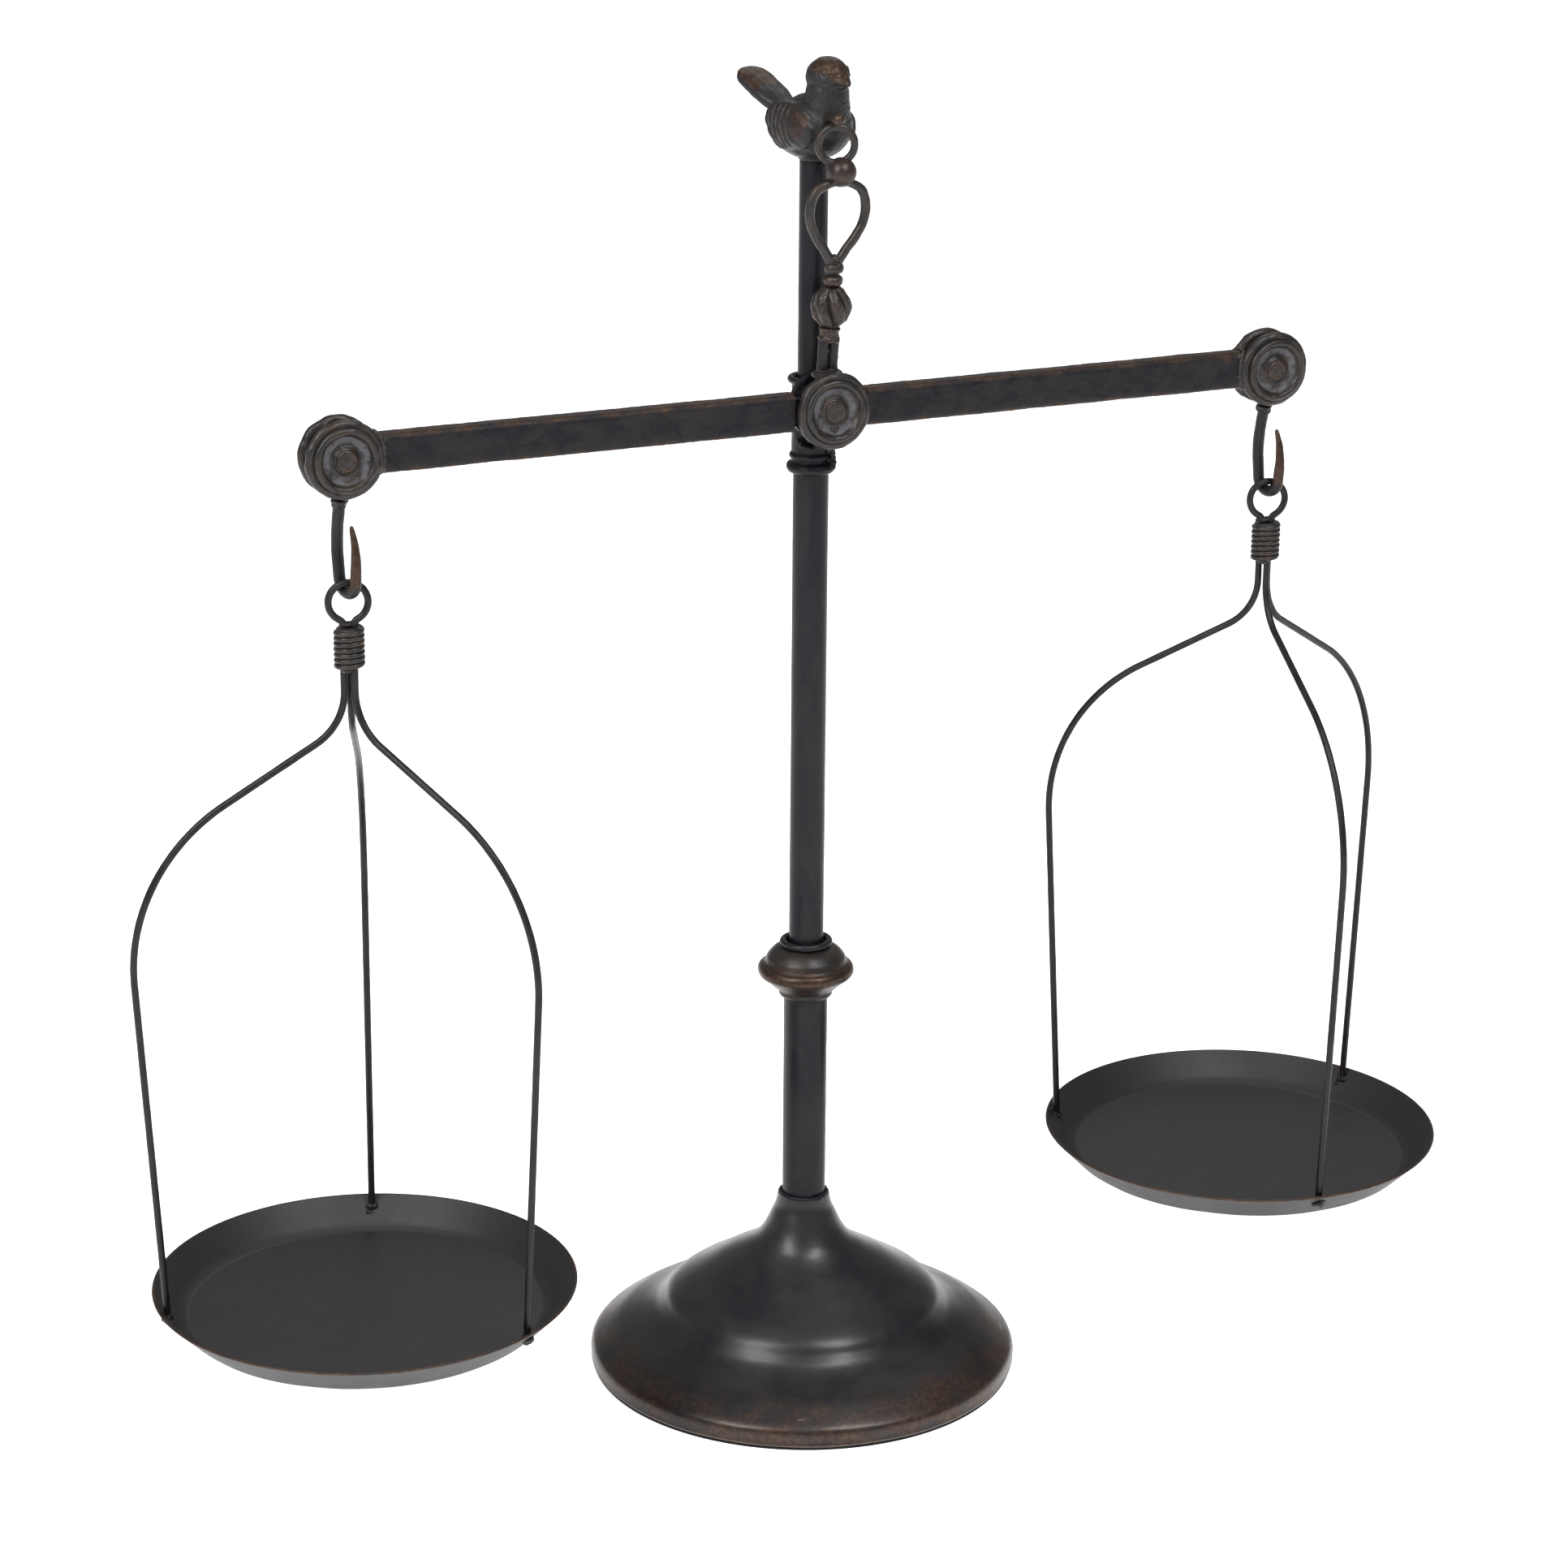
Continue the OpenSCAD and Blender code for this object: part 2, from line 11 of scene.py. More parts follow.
import bpy
import numpy as np
from mathutils import Matrix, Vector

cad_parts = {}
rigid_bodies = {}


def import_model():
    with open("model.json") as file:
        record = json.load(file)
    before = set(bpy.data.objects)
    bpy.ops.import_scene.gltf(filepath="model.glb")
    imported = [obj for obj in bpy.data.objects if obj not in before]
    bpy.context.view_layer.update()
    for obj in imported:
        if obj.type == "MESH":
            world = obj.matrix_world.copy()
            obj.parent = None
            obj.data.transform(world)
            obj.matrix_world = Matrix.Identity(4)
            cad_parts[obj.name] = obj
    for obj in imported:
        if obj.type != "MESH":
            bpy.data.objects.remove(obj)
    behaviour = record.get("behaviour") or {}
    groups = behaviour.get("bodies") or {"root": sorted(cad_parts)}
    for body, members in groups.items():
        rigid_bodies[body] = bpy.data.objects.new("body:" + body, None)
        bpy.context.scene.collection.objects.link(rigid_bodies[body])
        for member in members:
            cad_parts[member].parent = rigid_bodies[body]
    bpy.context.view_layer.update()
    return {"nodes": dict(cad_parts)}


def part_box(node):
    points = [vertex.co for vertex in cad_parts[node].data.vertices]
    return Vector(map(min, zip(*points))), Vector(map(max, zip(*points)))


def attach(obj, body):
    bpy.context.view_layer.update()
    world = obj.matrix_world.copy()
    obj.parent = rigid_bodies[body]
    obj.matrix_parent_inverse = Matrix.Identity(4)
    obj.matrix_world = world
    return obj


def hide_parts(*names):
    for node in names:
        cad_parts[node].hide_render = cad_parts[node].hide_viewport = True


bl_info = {
    "name": "Equal arm balance scale",
    "version": (1, 0, 0),
    "blender": (4, 5, 0),
    "location": "3D View > Sidebar > Balance",
    "description": "Builds the metal finishes and the cast, turned and bent pieces of the scale",
    "category": "Object",
}

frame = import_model()

MM = 0.001
SIDES = (("left", -1), ("right", 1))
FORWARD = np.array([[1, 0, 0], [0, 0, -1], [0, 1, 0]], float)
BACKWARD = np.array([[1, 0, 0], [0, 0, 1], [0, -1, 0]], float)
UPRIGHT = np.eye(3)
X, Y, Z = range(3)

# Millimetres, and degrees for the turns.
PIN_RADIUS = 3.0
PIN_BORE = 3.01
PIN_UPSET = 1.1
END_PIN_LENGTH = 14.9
DISC_HEIGHT = 6.4
DISC_BOSS = 5.2
DISC_GAP = 2.45
BEAM_WALL = 1.5
BEAM_START = 0.9
HOOK_BEND = 4.5
HOOK_TURN = 14
RING_WIRE = 1.5
RING_TURN = -12
WINDING_TURNS = 8
ARM_WIRE = 1.5
ARM_BUNDLE = 2.49
ARM_BULGE = 92.42
ARM_TURNS = {"left": (69, 176, 302), "right": (24, 144, 264)}
LEG_APART = 2.4
TOP_RING_RADIUS = 7.45
TOP_RING_TURN = -18
BEAD_STEP = 0.45
SCATTER_WAYS = 7
BIRD_TURN = -75


# ---- places taken from the frame


def corners(node):
    """Lowest and highest corner of a CAD node in millimetres."""
    low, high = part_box(node)
    return np.array(low) / MM, np.array(high) / MM


def middle(node):
    """Centre of a CAD node's box in millimetres."""
    low, high = corners(node)
    return (low + high) / 2


# ---- lines


def curve(points, steps=6):
    """Smooth line through points: on each span, the cubic whose slope at a point is half the
    difference of its two neighbours."""
    p = np.asarray(points, float)
    q = np.concatenate([p[:1], p, p[-1:]])
    a, b, c, d = q[:-3], q[1:-2], q[2:-1], q[3:]
    t = np.linspace(0, 1, steps, endpoint=False)[None, :, None]
    a, b, c, d = (v[:, None] for v in (a, b, c, d))
    line = b + 0.5 * t * (c - a + t * (2 * a - 5 * b + 4 * c - d + t * (3 * b - a - 3 * c + d)))
    return np.concatenate([line.reshape(-1, p.shape[1]), p[-1:]])


def arc(centre, radius, start, end, steps=10):
    """Points at equal angles on a circle's arc, angles in degrees."""
    a = np.radians(np.linspace(start, end, steps + 1))
    return np.asarray(centre, float) + radius * np.stack([np.cos(a), np.sin(a)], 1)


def soften(line, reach, closed=True, steps=4):
    """Rounds every corner: a quadratic curve from the point `reach` before the corner to the
    point `reach` after it, or 0.45 of a side that is short."""
    p = np.asarray(line, float)

    def towards(q):
        gap = q - p
        size = np.linalg.norm(gap, axis=1, keepdims=True)
        return p + gap * np.minimum(reach / np.maximum(size, 1e-9), 0.45)

    a, b = towards(np.roll(p, 1, 0)), towards(np.roll(p, -1, 0))
    if not closed:
        a[[0, -1]] = b[[0, -1]] = p[[0, -1]]
    t = np.linspace(0, 1, steps + 1)[None, :, None]
    rounded = (1 - t) ** 2 * a[:, None] + 2 * t * (1 - t) * p[:, None] + t * t * b[:, None]
    return rounded.reshape(-1, p.shape[1])


def even(line, step, closed=False):
    """The same line with its points at equal distances of about `step` along it."""
    p = np.asarray(line, float)
    if closed:
        p = np.concatenate([p, p[:1]])
    size = np.linalg.norm(np.diff(p, axis=0), axis=1)
    keep = np.concatenate([[True], size > 1e-7])
    p = p[keep]
    along = np.concatenate([[0], np.cumsum(np.linalg.norm(np.diff(p, axis=0), axis=1))])
    count = max(int(round(along[-1] / step)), 3)
    where = np.linspace(0, along[-1], count + 1)
    out = np.stack([np.interp(where, along, p[:, k]) for k in range(p.shape[1])], 1)
    return out[:-1] if closed else out


def finer(line, step):
    """The same line with extra points on its long spans, and its own points kept."""
    p = np.asarray(line, float)
    along = np.concatenate([[0], np.cumsum(np.linalg.norm(np.diff(p, axis=0), axis=1) + 1e-9)])
    where = np.union1d(along, np.linspace(0, along[-1], max(int(along[-1] / step), 2)))
    return np.stack([np.interp(where, along, p[:, k]) for k in range(p.shape[1])], 1)


# ---- shapes


def grid(points, loop_rows=False, loop_cols=False):
    """Quads between the neighbours of a grid of points (rows, columns, 3)."""
    rows, cols = points.shape[:2]
    i = np.arange(rows if loop_rows else rows - 1)[:, None]
    j = np.arange(cols if loop_cols else cols - 1)[None, :]
    up, across = (i + 1) % rows, (j + 1) % cols
    quads = np.stack([i * cols + j, i * cols + across, up * cols + across, up * cols + j], -1)
    return outward(weld(points.reshape(-1, 3), quads.reshape(-1, 4)))


def weld(points, quads):
    """Merges points that lie within a ten-thousandth of a millimetre, and drops empty quads."""
    keys = np.round(points, 4)
    _, first, where = np.unique(keys, axis=0, return_index=True, return_inverse=True)
    quads = where.reshape(-1)[quads]
    repeats = (quads == np.roll(quads, -1, 1)).sum(1)
    twisted = (quads[:, 0] == quads[:, 2]) | (quads[:, 1] == quads[:, 3])
    return points[first], quads[(repeats < 2) & ~twisted]


def outward(shape):
    """Turns a closed shape's quads round if the volume they enclose comes out negative."""
    points, quads = shape
    a, b, c, d = (points[quads[:, k]] for k in range(4))
    volume = (a * np.cross(b, c)).sum() + (a * np.cross(c, d)).sum()
    return (points, quads[:, ::-1]) if volume < 0 else shape


def join(*shapes):
    """One shape that holds several."""
    starts = np.cumsum([0] + [len(s[0]) for s in shapes[:-1]])
    return (
        np.concatenate([s[0] for s in shapes]),
        np.concatenate([s[1] + start for s, start in zip(shapes, starts)]),
    )


def normals(shape):
    """Unit normal at each point: the sum of its quads' area normals, half the cross product of
    each quad's diagonals."""
    points, quads = shape
    face = np.cross(points[quads[:, 2]] - points[quads[:, 0]],
                    points[quads[:, 3]] - points[quads[:, 1]])
    total = np.zeros_like(points)
    np.add.at(total, quads.reshape(-1), np.repeat(face, 4, 0))
    return total / np.maximum(np.linalg.norm(total, axis=1, keepdims=True), 1e-12)


def ripple(points, size, seed, layers=3):
    """Smooth unevenness between about -1 and 1: in each layer the mean of seven plane sine waves
    in fixed random directions, each layer half as long and half as high as the one before."""
    chance = np.random.default_rng(seed)
    total = np.zeros(len(points))
    for layer in range(layers):
        ways = chance.normal(size=(SCATTER_WAYS, 3))
        ways /= np.linalg.norm(ways, axis=1, keepdims=True)
        phase = chance.uniform(0, 2 * np.pi, SCATTER_WAYS)
        pace = 2 * np.pi / size * 2 ** layer
        total += np.sin(points @ ways.T * pace + phase).mean(1) * 0.5 ** layer
    return total * 1.6


def roughen(shape, depth, size, seed, layers=3):
    """Moves each point along its normal by `depth` times the ripple there."""
    points, quads = shape
    return points + normals(shape) * (depth * ripple(points, size, seed, layers))[:, None], quads


def revolve(profile, centre, turn=UPRIGHT, around=96, flute=None):
    """Surface of a closed outline of (radius, height) turned about an axis: the point at angle t
    is radius times (cos t, sin t), at its height. `flute` gives a factor on the radius from the
    angle and the height."""
    line = np.asarray(profile, float)
    t = np.linspace(0, 2 * np.pi, around, endpoint=False)[None, :]
    radius = np.maximum(line[:, :1], 0) + 0 * t
    height = line[:, 1:] + 0 * t
    if flute is not None:
        radius = radius * flute(t + 0 * height, height)
    points = np.stack([radius * np.cos(t), radius * np.sin(t), height], -1)
    return grid(points @ np.asarray(turn).T + np.asarray(centre, float), True, True)


def turned(outline, reach, step, centre=(0, 0, 0), turn=UPRIGHT, around=96, flute=None,
           closed=True):
    """An outline with its corners rounded and its long spans divided, revolved."""
    return revolve(finer(soften(outline, reach, closed), step), centre, turn, around, flute)


def circle(radius, count, height=0.0):
    """Points on a level circle round the origin."""
    t = np.linspace(0, 2 * np.pi, count, endpoint=False)
    return np.stack([radius * np.cos(t), radius * np.sin(t), height + 0 * t], 1)


def standing(line, side=1):
    """The points (x, z) of a plane line as points (x, 0, z), mirrored if side is -1."""
    return np.stack([side * line[:, 0], 0 * line[:, 0], line[:, 1]], 1)


def rounded_box(half_width, half_height, reach, steps, step):
    """Closed line round a box with rounded corners, with its points `step` apart."""
    box = np.array([[1, 1], [-1, 1], [-1, -1], [1, -1]]) * np.array([half_width, half_height])
    return even(soften(box, reach, True, steps), step, True)


def sweep(path, across, radius, around=14, closed=False, flat=1.0):
    """Rod along a path: round each path point a circle whose axes are the direction `across`
    and the path's direction crossed with it; `flat` is the circle's squash in the second axis.
    An open rod ends in two half spheres."""
    path = np.asarray(path, float)
    radius = np.broadcast_to(np.asarray(radius, float), len(path)).copy()
    across = np.broadcast_to(np.asarray(across, float), path.shape)
    if closed:
        way = np.roll(path, -1, 0) - np.roll(path, 1, 0)
    else:
        way = np.gradient(path, axis=0)
    way = way / np.linalg.norm(way, axis=1, keepdims=True)
    if not closed:
        a = np.radians(np.array([90, 72, 54, 36, 18]))[:, None]
        head = path[0] - way[0] * radius[0] * np.sin(a)
        foot = path[-1] + way[-1] * radius[-1] * np.sin(a[::-1])
        path = np.concatenate([head, path, foot])
        radius = np.concatenate([radius[0] * np.cos(a[:, 0]), radius,
                                 radius[-1] * np.cos(a[::-1, 0])])
        way = np.concatenate([np.repeat(way[:1], 5, 0), way, np.repeat(way[-1:], 5, 0)])
        across = np.concatenate([np.repeat(across[:1], 5, 0), across,
                                 np.repeat(across[-1:], 5, 0)])
    first = across - (across * way).sum(1, keepdims=True) * way
    first = first / np.linalg.norm(first, axis=1, keepdims=True)
    second = np.cross(way, first) * flat
    t = np.linspace(0, 2 * np.pi, around, endpoint=False)
    ring = np.cos(t)[None, :, None] * first[:, None] + np.sin(t)[None, :, None] * second[:, None]
    return grid(path[:, None] + radius[:, None, None] * ring, closed, True)


def blob(centre, radii, seed=1, lumps=0.0, size=4.0, square=1.0, turn=UPRIGHT, fine=28):
    """Rounded lump: a sphere's point with each part raised to the power `square` and scaled by
    three radii, then roughened."""
    u = np.linspace(-np.pi / 2, np.pi / 2, fine)[:, None]
    v = np.linspace(0, 2 * np.pi, 2 * fine, endpoint=False)[None, :]
    ball = np.stack([np.cos(u) * np.cos(v), np.cos(u) * np.sin(v), np.sin(u) + 0 * v], -1)
    ball = np.sign(ball) * np.abs(ball) ** square
    points = (ball * np.asarray(radii, float)) @ np.asarray(turn).T + np.asarray(centre, float)
    shape = grid(points, False, True)
    return roughen(shape, lumps, size, seed) if lumps else shape


def bead(path, across, radius, seed, closed=False, pitch=2.2):
    """Weld run: a rod whose radius swells once every `pitch` along the path and varies with the
    ripple, so that it looks laid down drop by drop."""
    line = even(path, BEAD_STEP, closed)
    along = np.arange(len(line)) * BEAD_STEP
    swell = 0.86 + 0.2 * np.abs(np.sin(np.pi * along / pitch))
    size = radius * (swell + 0.16 * ripple(line, 7.0, seed))
    return roughen(sweep(line, across, size, 12, closed), 0.16 * radius, 1.6, seed + 5)


def about(axis, degrees):
    """Turn about one of the axes X, Y and Z."""
    angle = math.radians(degrees)
    after, last = (axis + 1) % 3, (axis + 2) % 3
    turn = np.eye(3)
    turn[after, after] = turn[last, last] = math.cos(angle)
    turn[last, after] = math.sin(angle)
    turn[after, last] = -math.sin(angle)
    return turn


def place(shape, turn, shift):
    """The shape turned, then shifted."""
    return shape[0] @ np.asarray(turn).T + np.asarray(shift, float), shape[1]


def smooth(x, low, high):
    """0 below low, 1 above high, and an S-shaped rise between them."""
    t = np.clip((x - low) / (high - low), 0, 1)
    return t * t * (3 - 2 * t)


def crest(shape):
    """How strongly the surface bulges at each point, per millimetre: over a point's edges, the
    mean drop below its tangent plane divided by half the edge's squared length, averaged twice
    with its neighbours."""
    points, quads = shape
    up = normals(shape)
    a = quads.reshape(-1)
    b = np.roll(quads, -1, 1).reshape(-1)
    a, b = a[a != b], b[a != b]
    gap = points[b] - points[a]
    square = np.maximum((gap * gap).sum(1), 1e-6)
    total, count = np.zeros(len(points)), np.zeros(len(points))
    np.add.at(total, a, -2 * (gap * up[a]).sum(1) / square)
    np.add.at(total, b, 2 * (gap * up[b]).sum(1) / square)
    np.add.at(count, np.concatenate([a, b]), 1)
    bulge = total / np.maximum(count, 1)
    for _ in range(2):
        near = np.zeros(len(points))
        np.add.at(near, a, bulge[b])
        np.add.at(near, b, bulge[a])
        bulge = 0.5 * bulge + 0.5 * near / np.maximum(count, 1)
    return np.clip(bulge, -1, 1)


# ---- from shapes to shown pieces


def mesh_of(name, shape):
    """A mesh in metres from a shape; a quad with a repeated corner becomes a triangle."""
    points, quads = shape
    keep = quads != np.roll(quads, -1, 1)
    sizes = keep.sum(1)
    mesh = bpy.data.meshes.new(name)
    mesh.vertices.add(len(points))
    mesh.vertices.foreach_set("co", (points * MM).astype(np.float32).ravel())
    mesh.loops.add(int(sizes.sum()))
    mesh.loops.foreach_set("vertex_index", quads[keep].astype(np.int32))
    mesh.polygons.add(len(sizes))
    starts = np.concatenate([[0], np.cumsum(sizes)[:-1]])
    mesh.polygons.foreach_set("loop_start", starts.astype(np.int32))
    mesh.update(calc_edges=True)
    mesh.validate()
    return mesh


def tag(mesh, name, values):
    """Stores one number per point on the mesh, from an array or from a single number."""
    layer = mesh.attributes.new(name, "FLOAT", "POINT")
    spread = np.broadcast_to(values, len(mesh.vertices))
    layer.data.foreach_set("value", np.ascontiguousarray(spread, np.float32))


def show(name, data):
    """A new object in the scene, from a mesh, a lamp or a camera."""
    thing = bpy.data.objects.new(name, data)
    bpy.context.scene.collection.objects.link(thing)
    return thing


def put(name, shape, body, finish, stands_for, brown=0.0, dust=0.0, crease=60):
    """Makes a shape into a shown piece that rides on a body and stands for CAD nodes. `brown` marks
    rubbed places for the finishes, and on the bird's shoulders a painted highlight; the pale tag
    after it marks places that are partly powder and partly a painted reflection."""
    mesh = mesh_of(name, shape)
    tag(mesh, "crest", crest(shape))
    tag(mesh, "brown", brown)
    tag(mesh, "dust", dust)
    mesh.polygons.foreach_set("use_smooth", np.ones(len(mesh.polygons), bool))
    mesh.set_sharp_from_angle(angle=math.radians(crease))
    mesh.materials.append(finishes()[finish])
    piece = show(name, mesh)
    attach(piece, body)
    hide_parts(*stands_for)


def dress(node, finish):
    """Gives a CAD node that stays shown its finish."""
    shown = frame["nodes"][node]
    shown.data.materials.clear()
    shown.data.materials.append(finishes()[finish])


# ---- finishes


class Value:
    """A number on a node's socket; arithmetic on it adds Math nodes."""

    def __init__(self, paint, socket):
        self.paint = paint
        self.socket = socket

    def maths(self, operation, first, second):
        """One Math node on two numbers."""
        made = self.paint.node("ShaderNodeMath", {"operation": operation}, {0: first, 1: second})
        return Value(self.paint, made.outputs[0])

    def __add__(self, other):
        return self.maths("ADD", self, other)

    __radd__ = __add__

    def __sub__(self, other):
        return self.maths("SUBTRACT", self, other)

    def __rsub__(self, other):
        return self.maths("SUBTRACT", other, self)

    def __mul__(self, other):
        return self.maths("MULTIPLY", self, other)

    __rmul__ = __mul__

    def step(self, low, high):
        """0 below low, 1 above high, and an S-shaped rise between them."""
        made = self.paint.node(
            "ShaderNodeMapRange", {"interpolation_type": "SMOOTHSTEP"},
            {"Value": self, "From Min": low, "From Max": high})
        return Value(self.paint, made.outputs[0])


class Paint:
    """A node material, with one method that makes any node."""

    def __init__(self, name):
        self.material = bpy.data.materials.new(name)
        self.material.use_nodes = True
        self.tree = self.material.node_tree
        self.tree.nodes.clear()
        self.place = self.node("ShaderNodeTexCoord").outputs["Object"]

    def node(self, kind, settings=None, sockets=None):
        """Makes a node: its settings first, then its sockets' numbers, colours or links."""
        made = self.tree.nodes.new(kind)
        for key, value in (settings or {}).items():
            setattr(made, key, value)
        for key, value in (sockets or {}).items():
            if isinstance(value, Value):
                value = value.socket
            if isinstance(value, bpy.types.NodeSocket):
                self.tree.links.new(value, made.inputs[key])
            else:
                made.inputs[key].default_value = value
        return made

    def cloud(self, size, detail=4.0, roughness=0.55, stretch=(1, 1, 1), warp=0.0):
        """Noise whose patches are about `size` millimetres, stretched along an axis if asked."""
        where = self.node("ShaderNodeMapping", {"vector_type": "POINT"},
                          {"Vector": self.place, "Scale": stretch})
        made = self.node(
            "ShaderNodeTexNoise", {"noise_dimensions": "3D"},
            {"Vector": where.outputs[0], "Scale": 1 / (size * MM), "Detail": detail,
             "Roughness": roughness, "Distortion": warp})
        return Value(self, made.outputs[0])

    def pits(self, size):
        """Distance to the nearest of scattered points about `size` millimetres apart."""
        made = self.node("ShaderNodeTexVoronoi", {"feature": "F1"},
                         {"Vector": self.place, "Scale": 1 / (size * MM), "Randomness": 1.0})
        return Value(self, made.outputs["Distance"])

    def tagged(self, name):
        """A number stored on the mesh."""
        made = self.node("ShaderNodeAttribute", {"attribute_name": name})
        return Value(self, made.outputs["Fac"])

    def mix(self, share, first, second):
        """Colour between two colours."""
        made = self.node("ShaderNodeMix", {"data_type": "RGBA"},
                         {0: share, 6: first, 7: second})
        return made.outputs[2]

    def close(self, colour, roughness, metallic, height, depth, coat=0.0, shine=0.5,
              glow=0.0):
        """Principled surface with a bump of `depth` millimetres and a white glow if asked."""
        relief = self.node("ShaderNodeBump", {}, {"Height": height, "Distance": depth * MM,
                                                  "Strength": 1.0})
        surface = self.node(
            "ShaderNodeBsdfPrincipled", {},
            {"Base Color": colour, "Roughness": roughness, "Metallic": metallic,
             "Normal": relief.outputs[0], "Coat Weight": coat, "Coat Roughness": 0.25,
             "Specular IOR Level": shine, "Emission Color": (1, 1, 1, 1),
             "Emission Strength": glow})
        out = self.node("ShaderNodeOutputMaterial", {}, {"Surface": surface.outputs[0]})
        out.is_active_output = True
        return self.material


def metal(name, ground, shade, worn, pale, gloss, depth, grain, patch, rub, body, speckle,
          shine, coat=0.0, stretch=(1, 1, 1)):
    """Patinated metal: ground and shade in clouds, fine grain and pits, and a rubbed brown on
    crests and tagged places; the brown tag also carries a painted highlight on the bird's
    shoulders. Pale patches in tagged hollows are partly powder and partly a painted reflection of
    the lamps on rough metal."""
    paint = Paint(name)
    clouds = paint.cloud(patch, 5.0, 0.6, stretch, 0.4)
    fleck = paint.cloud(grain, 6.0, 0.7, stretch)
    sand = paint.cloud(grain * 0.3, 3.0, 0.6)
    hollow = paint.pits(grain * 1.7)
    bulge = paint.tagged("crest")
    brown = paint.tagged("brown")
    dust = paint.tagged("dust")
    colour = paint.mix(clouds.step(0.36, 0.66), ground, shade)
    dim = tuple(0.45 * c for c in ground[:3]) + (1.0,)
    colour = paint.mix((0.42 - hollow).step(0.0, 0.34) * speckle, colour, dim)
    # Rubbed brown from crests and the brown tag; on the bird's shoulders the tag paints a
    # highlight.
    rubbed_and_highlight = (bulge * rub + brown + (clouds - 0.5) * 0.9 + (fleck - 0.5) * 1.1).step(0.22, 0.85)
    deep = tuple(0.5 * c for c in worn[:3]) + (1.0,)
    tone = paint.mix(paint.cloud(grain * 3.4, 4.0, 0.6).step(0.35, 0.65), worn, deep)
    colour = paint.mix(rubbed_and_highlight * 0.92, colour, tone)
    # Pale patches from the tag: partly powder, partly a painted reflection of the lamps on rough
    # metal in the hollows.
    powder_and_reflection = (dust * 1.2 + (fleck - 0.5) * 2.2 + (sand - 0.5) * 0.8 - 0.35).step(0.0, 0.75)
    powder_and_reflection = powder_and_reflection * dust.step(0.02, 0.3)
    colour = paint.mix(powder_and_reflection, colour, pale)
    spot = (fleck * 0.6 + sand * 0.4).step(0.55, 0.72) * speckle
    light = tuple(min(1.0, 2.1 * c + 0.012) for c in shade[:3]) + (1.0,)
    colour = paint.mix(spot * 0.55, colour, light)
    rough = (fleck - 0.5) * 0.34 + (clouds - 0.5) * 0.22 + powder_and_reflection * 0.2 + gloss
    sheen = rubbed_and_highlight * 0.4 - powder_and_reflection * 0.15 + body
    height = fleck * 0.62 + sand * 0.25 + hollow.step(0.0, 0.4) * 0.3
    return paint.close(colour, rough, sheen, height, depth, coat, shine)


def felt_finish(name, ground, shade):
    """Pressed felt: tangled fine fibres from two stretched noises, dull."""
    paint = Paint(name)
    along = paint.cloud(1.2, 6.0, 0.7, (1, 0.3, 1), 1.5)
    over = paint.cloud(1.2, 6.0, 0.7, (0.3, 1, 1), 1.5)
    tangle = (along + over) * 0.5
    colour = paint.mix(tangle.step(0.38, 0.62), ground, shade)
    return paint.close(colour, 0.9 + (tangle - 0.5) * 0.1, 0.0, tangle, 0.3, 0.0, 0.2)


def floor_finish(name, tone):
    """Plain pale floor with a trace of unevenness."""
    paint = Paint(name)
    cloud = paint.cloud(400.0, 2.0)
    faint = tuple(c * 0.985 for c in tone[:3]) + (1.0,)
    colour = paint.mix(cloud.step(0.3, 0.7), tone, faint)
    return paint.close(colour, 0.7 + (cloud - 0.5) * 0.05, 0.0, cloud, 0.01, 0.0, 0.0, 0.85)


def colour4(value):
    """Four-part colour from a three-part one."""
    return tuple(value) + (1.0,)


# Each metal: its name, its ground colour, its clouds' colour, and the numbers of `metal`.
METALS = {
    "base": ("base_enamel", "enamel", "enamel_shade", {
        "gloss": 0.36, "depth": 0.06, "grain": 0.8, "patch": 30.0, "rub": 0.25, "body": 0.1,
        "speckle": 0.25, "shine": 0.34, "coat": 0.2}),
    "post": ("post_enamel", "enamel", "enamel_shade", {
        "gloss": 0.38, "depth": 0.05, "grain": 0.9, "patch": 18.0, "rub": 0.25, "body": 0.1,
        "speckle": 0.25, "shine": 0.16, "coat": 0.04, "stretch": (1, 1, 0.35)}),
    "bar": ("mottled_black", "enamel", "iron", {
        "gloss": 0.5, "depth": 0.16, "grain": 1.0, "patch": 7.0, "rub": 0.6, "body": 0.2,
        "speckle": 0.6, "shine": 0.22, "stretch": (0.6, 1, 1)}),
    "cast": ("bronzed_iron", "iron", "bronze", {
        "gloss": 0.37, "depth": 0.1, "grain": 0.9, "patch": 8.0, "rub": 0.28, "body": 0.2,
        "speckle": 0.3, "shine": 0.36}),
    "knop": ("bronzed_knop", "iron", "bronze", {
        "gloss": 0.38, "depth": 0.05, "grain": 0.6, "patch": 12.0, "rub": 0.4, "body": 0.3,
        "speckle": 0.3, "shine": 0.4}),
    "bird": ("bronzed_bird", "iron", "enamel_shade", {
        "gloss": 0.44, "depth": 0.09, "grain": 0.7, "patch": 6.0, "rub": 0.3, "body": 0.25,
        "speckle": 0.3, "shine": 0.34}),
    "wire": ("blackened_wire", "enamel", "iron", {
        "gloss": 0.4, "depth": 0.05, "grain": 0.7, "patch": 9.0, "rub": 0.12, "body": 0.2,
        "speckle": 0.25, "shine": 0.3, "stretch": (1, 1, 0.5)}),
    "pan": ("pan_satin", "enamel_shade", "iron", {
        "gloss": 0.5, "depth": 0.07, "grain": 0.8, "patch": 24.0, "rub": 0.4, "body": 0.2,
        "speckle": 0.5, "shine": 0.5}),
}

FINISHES = {}


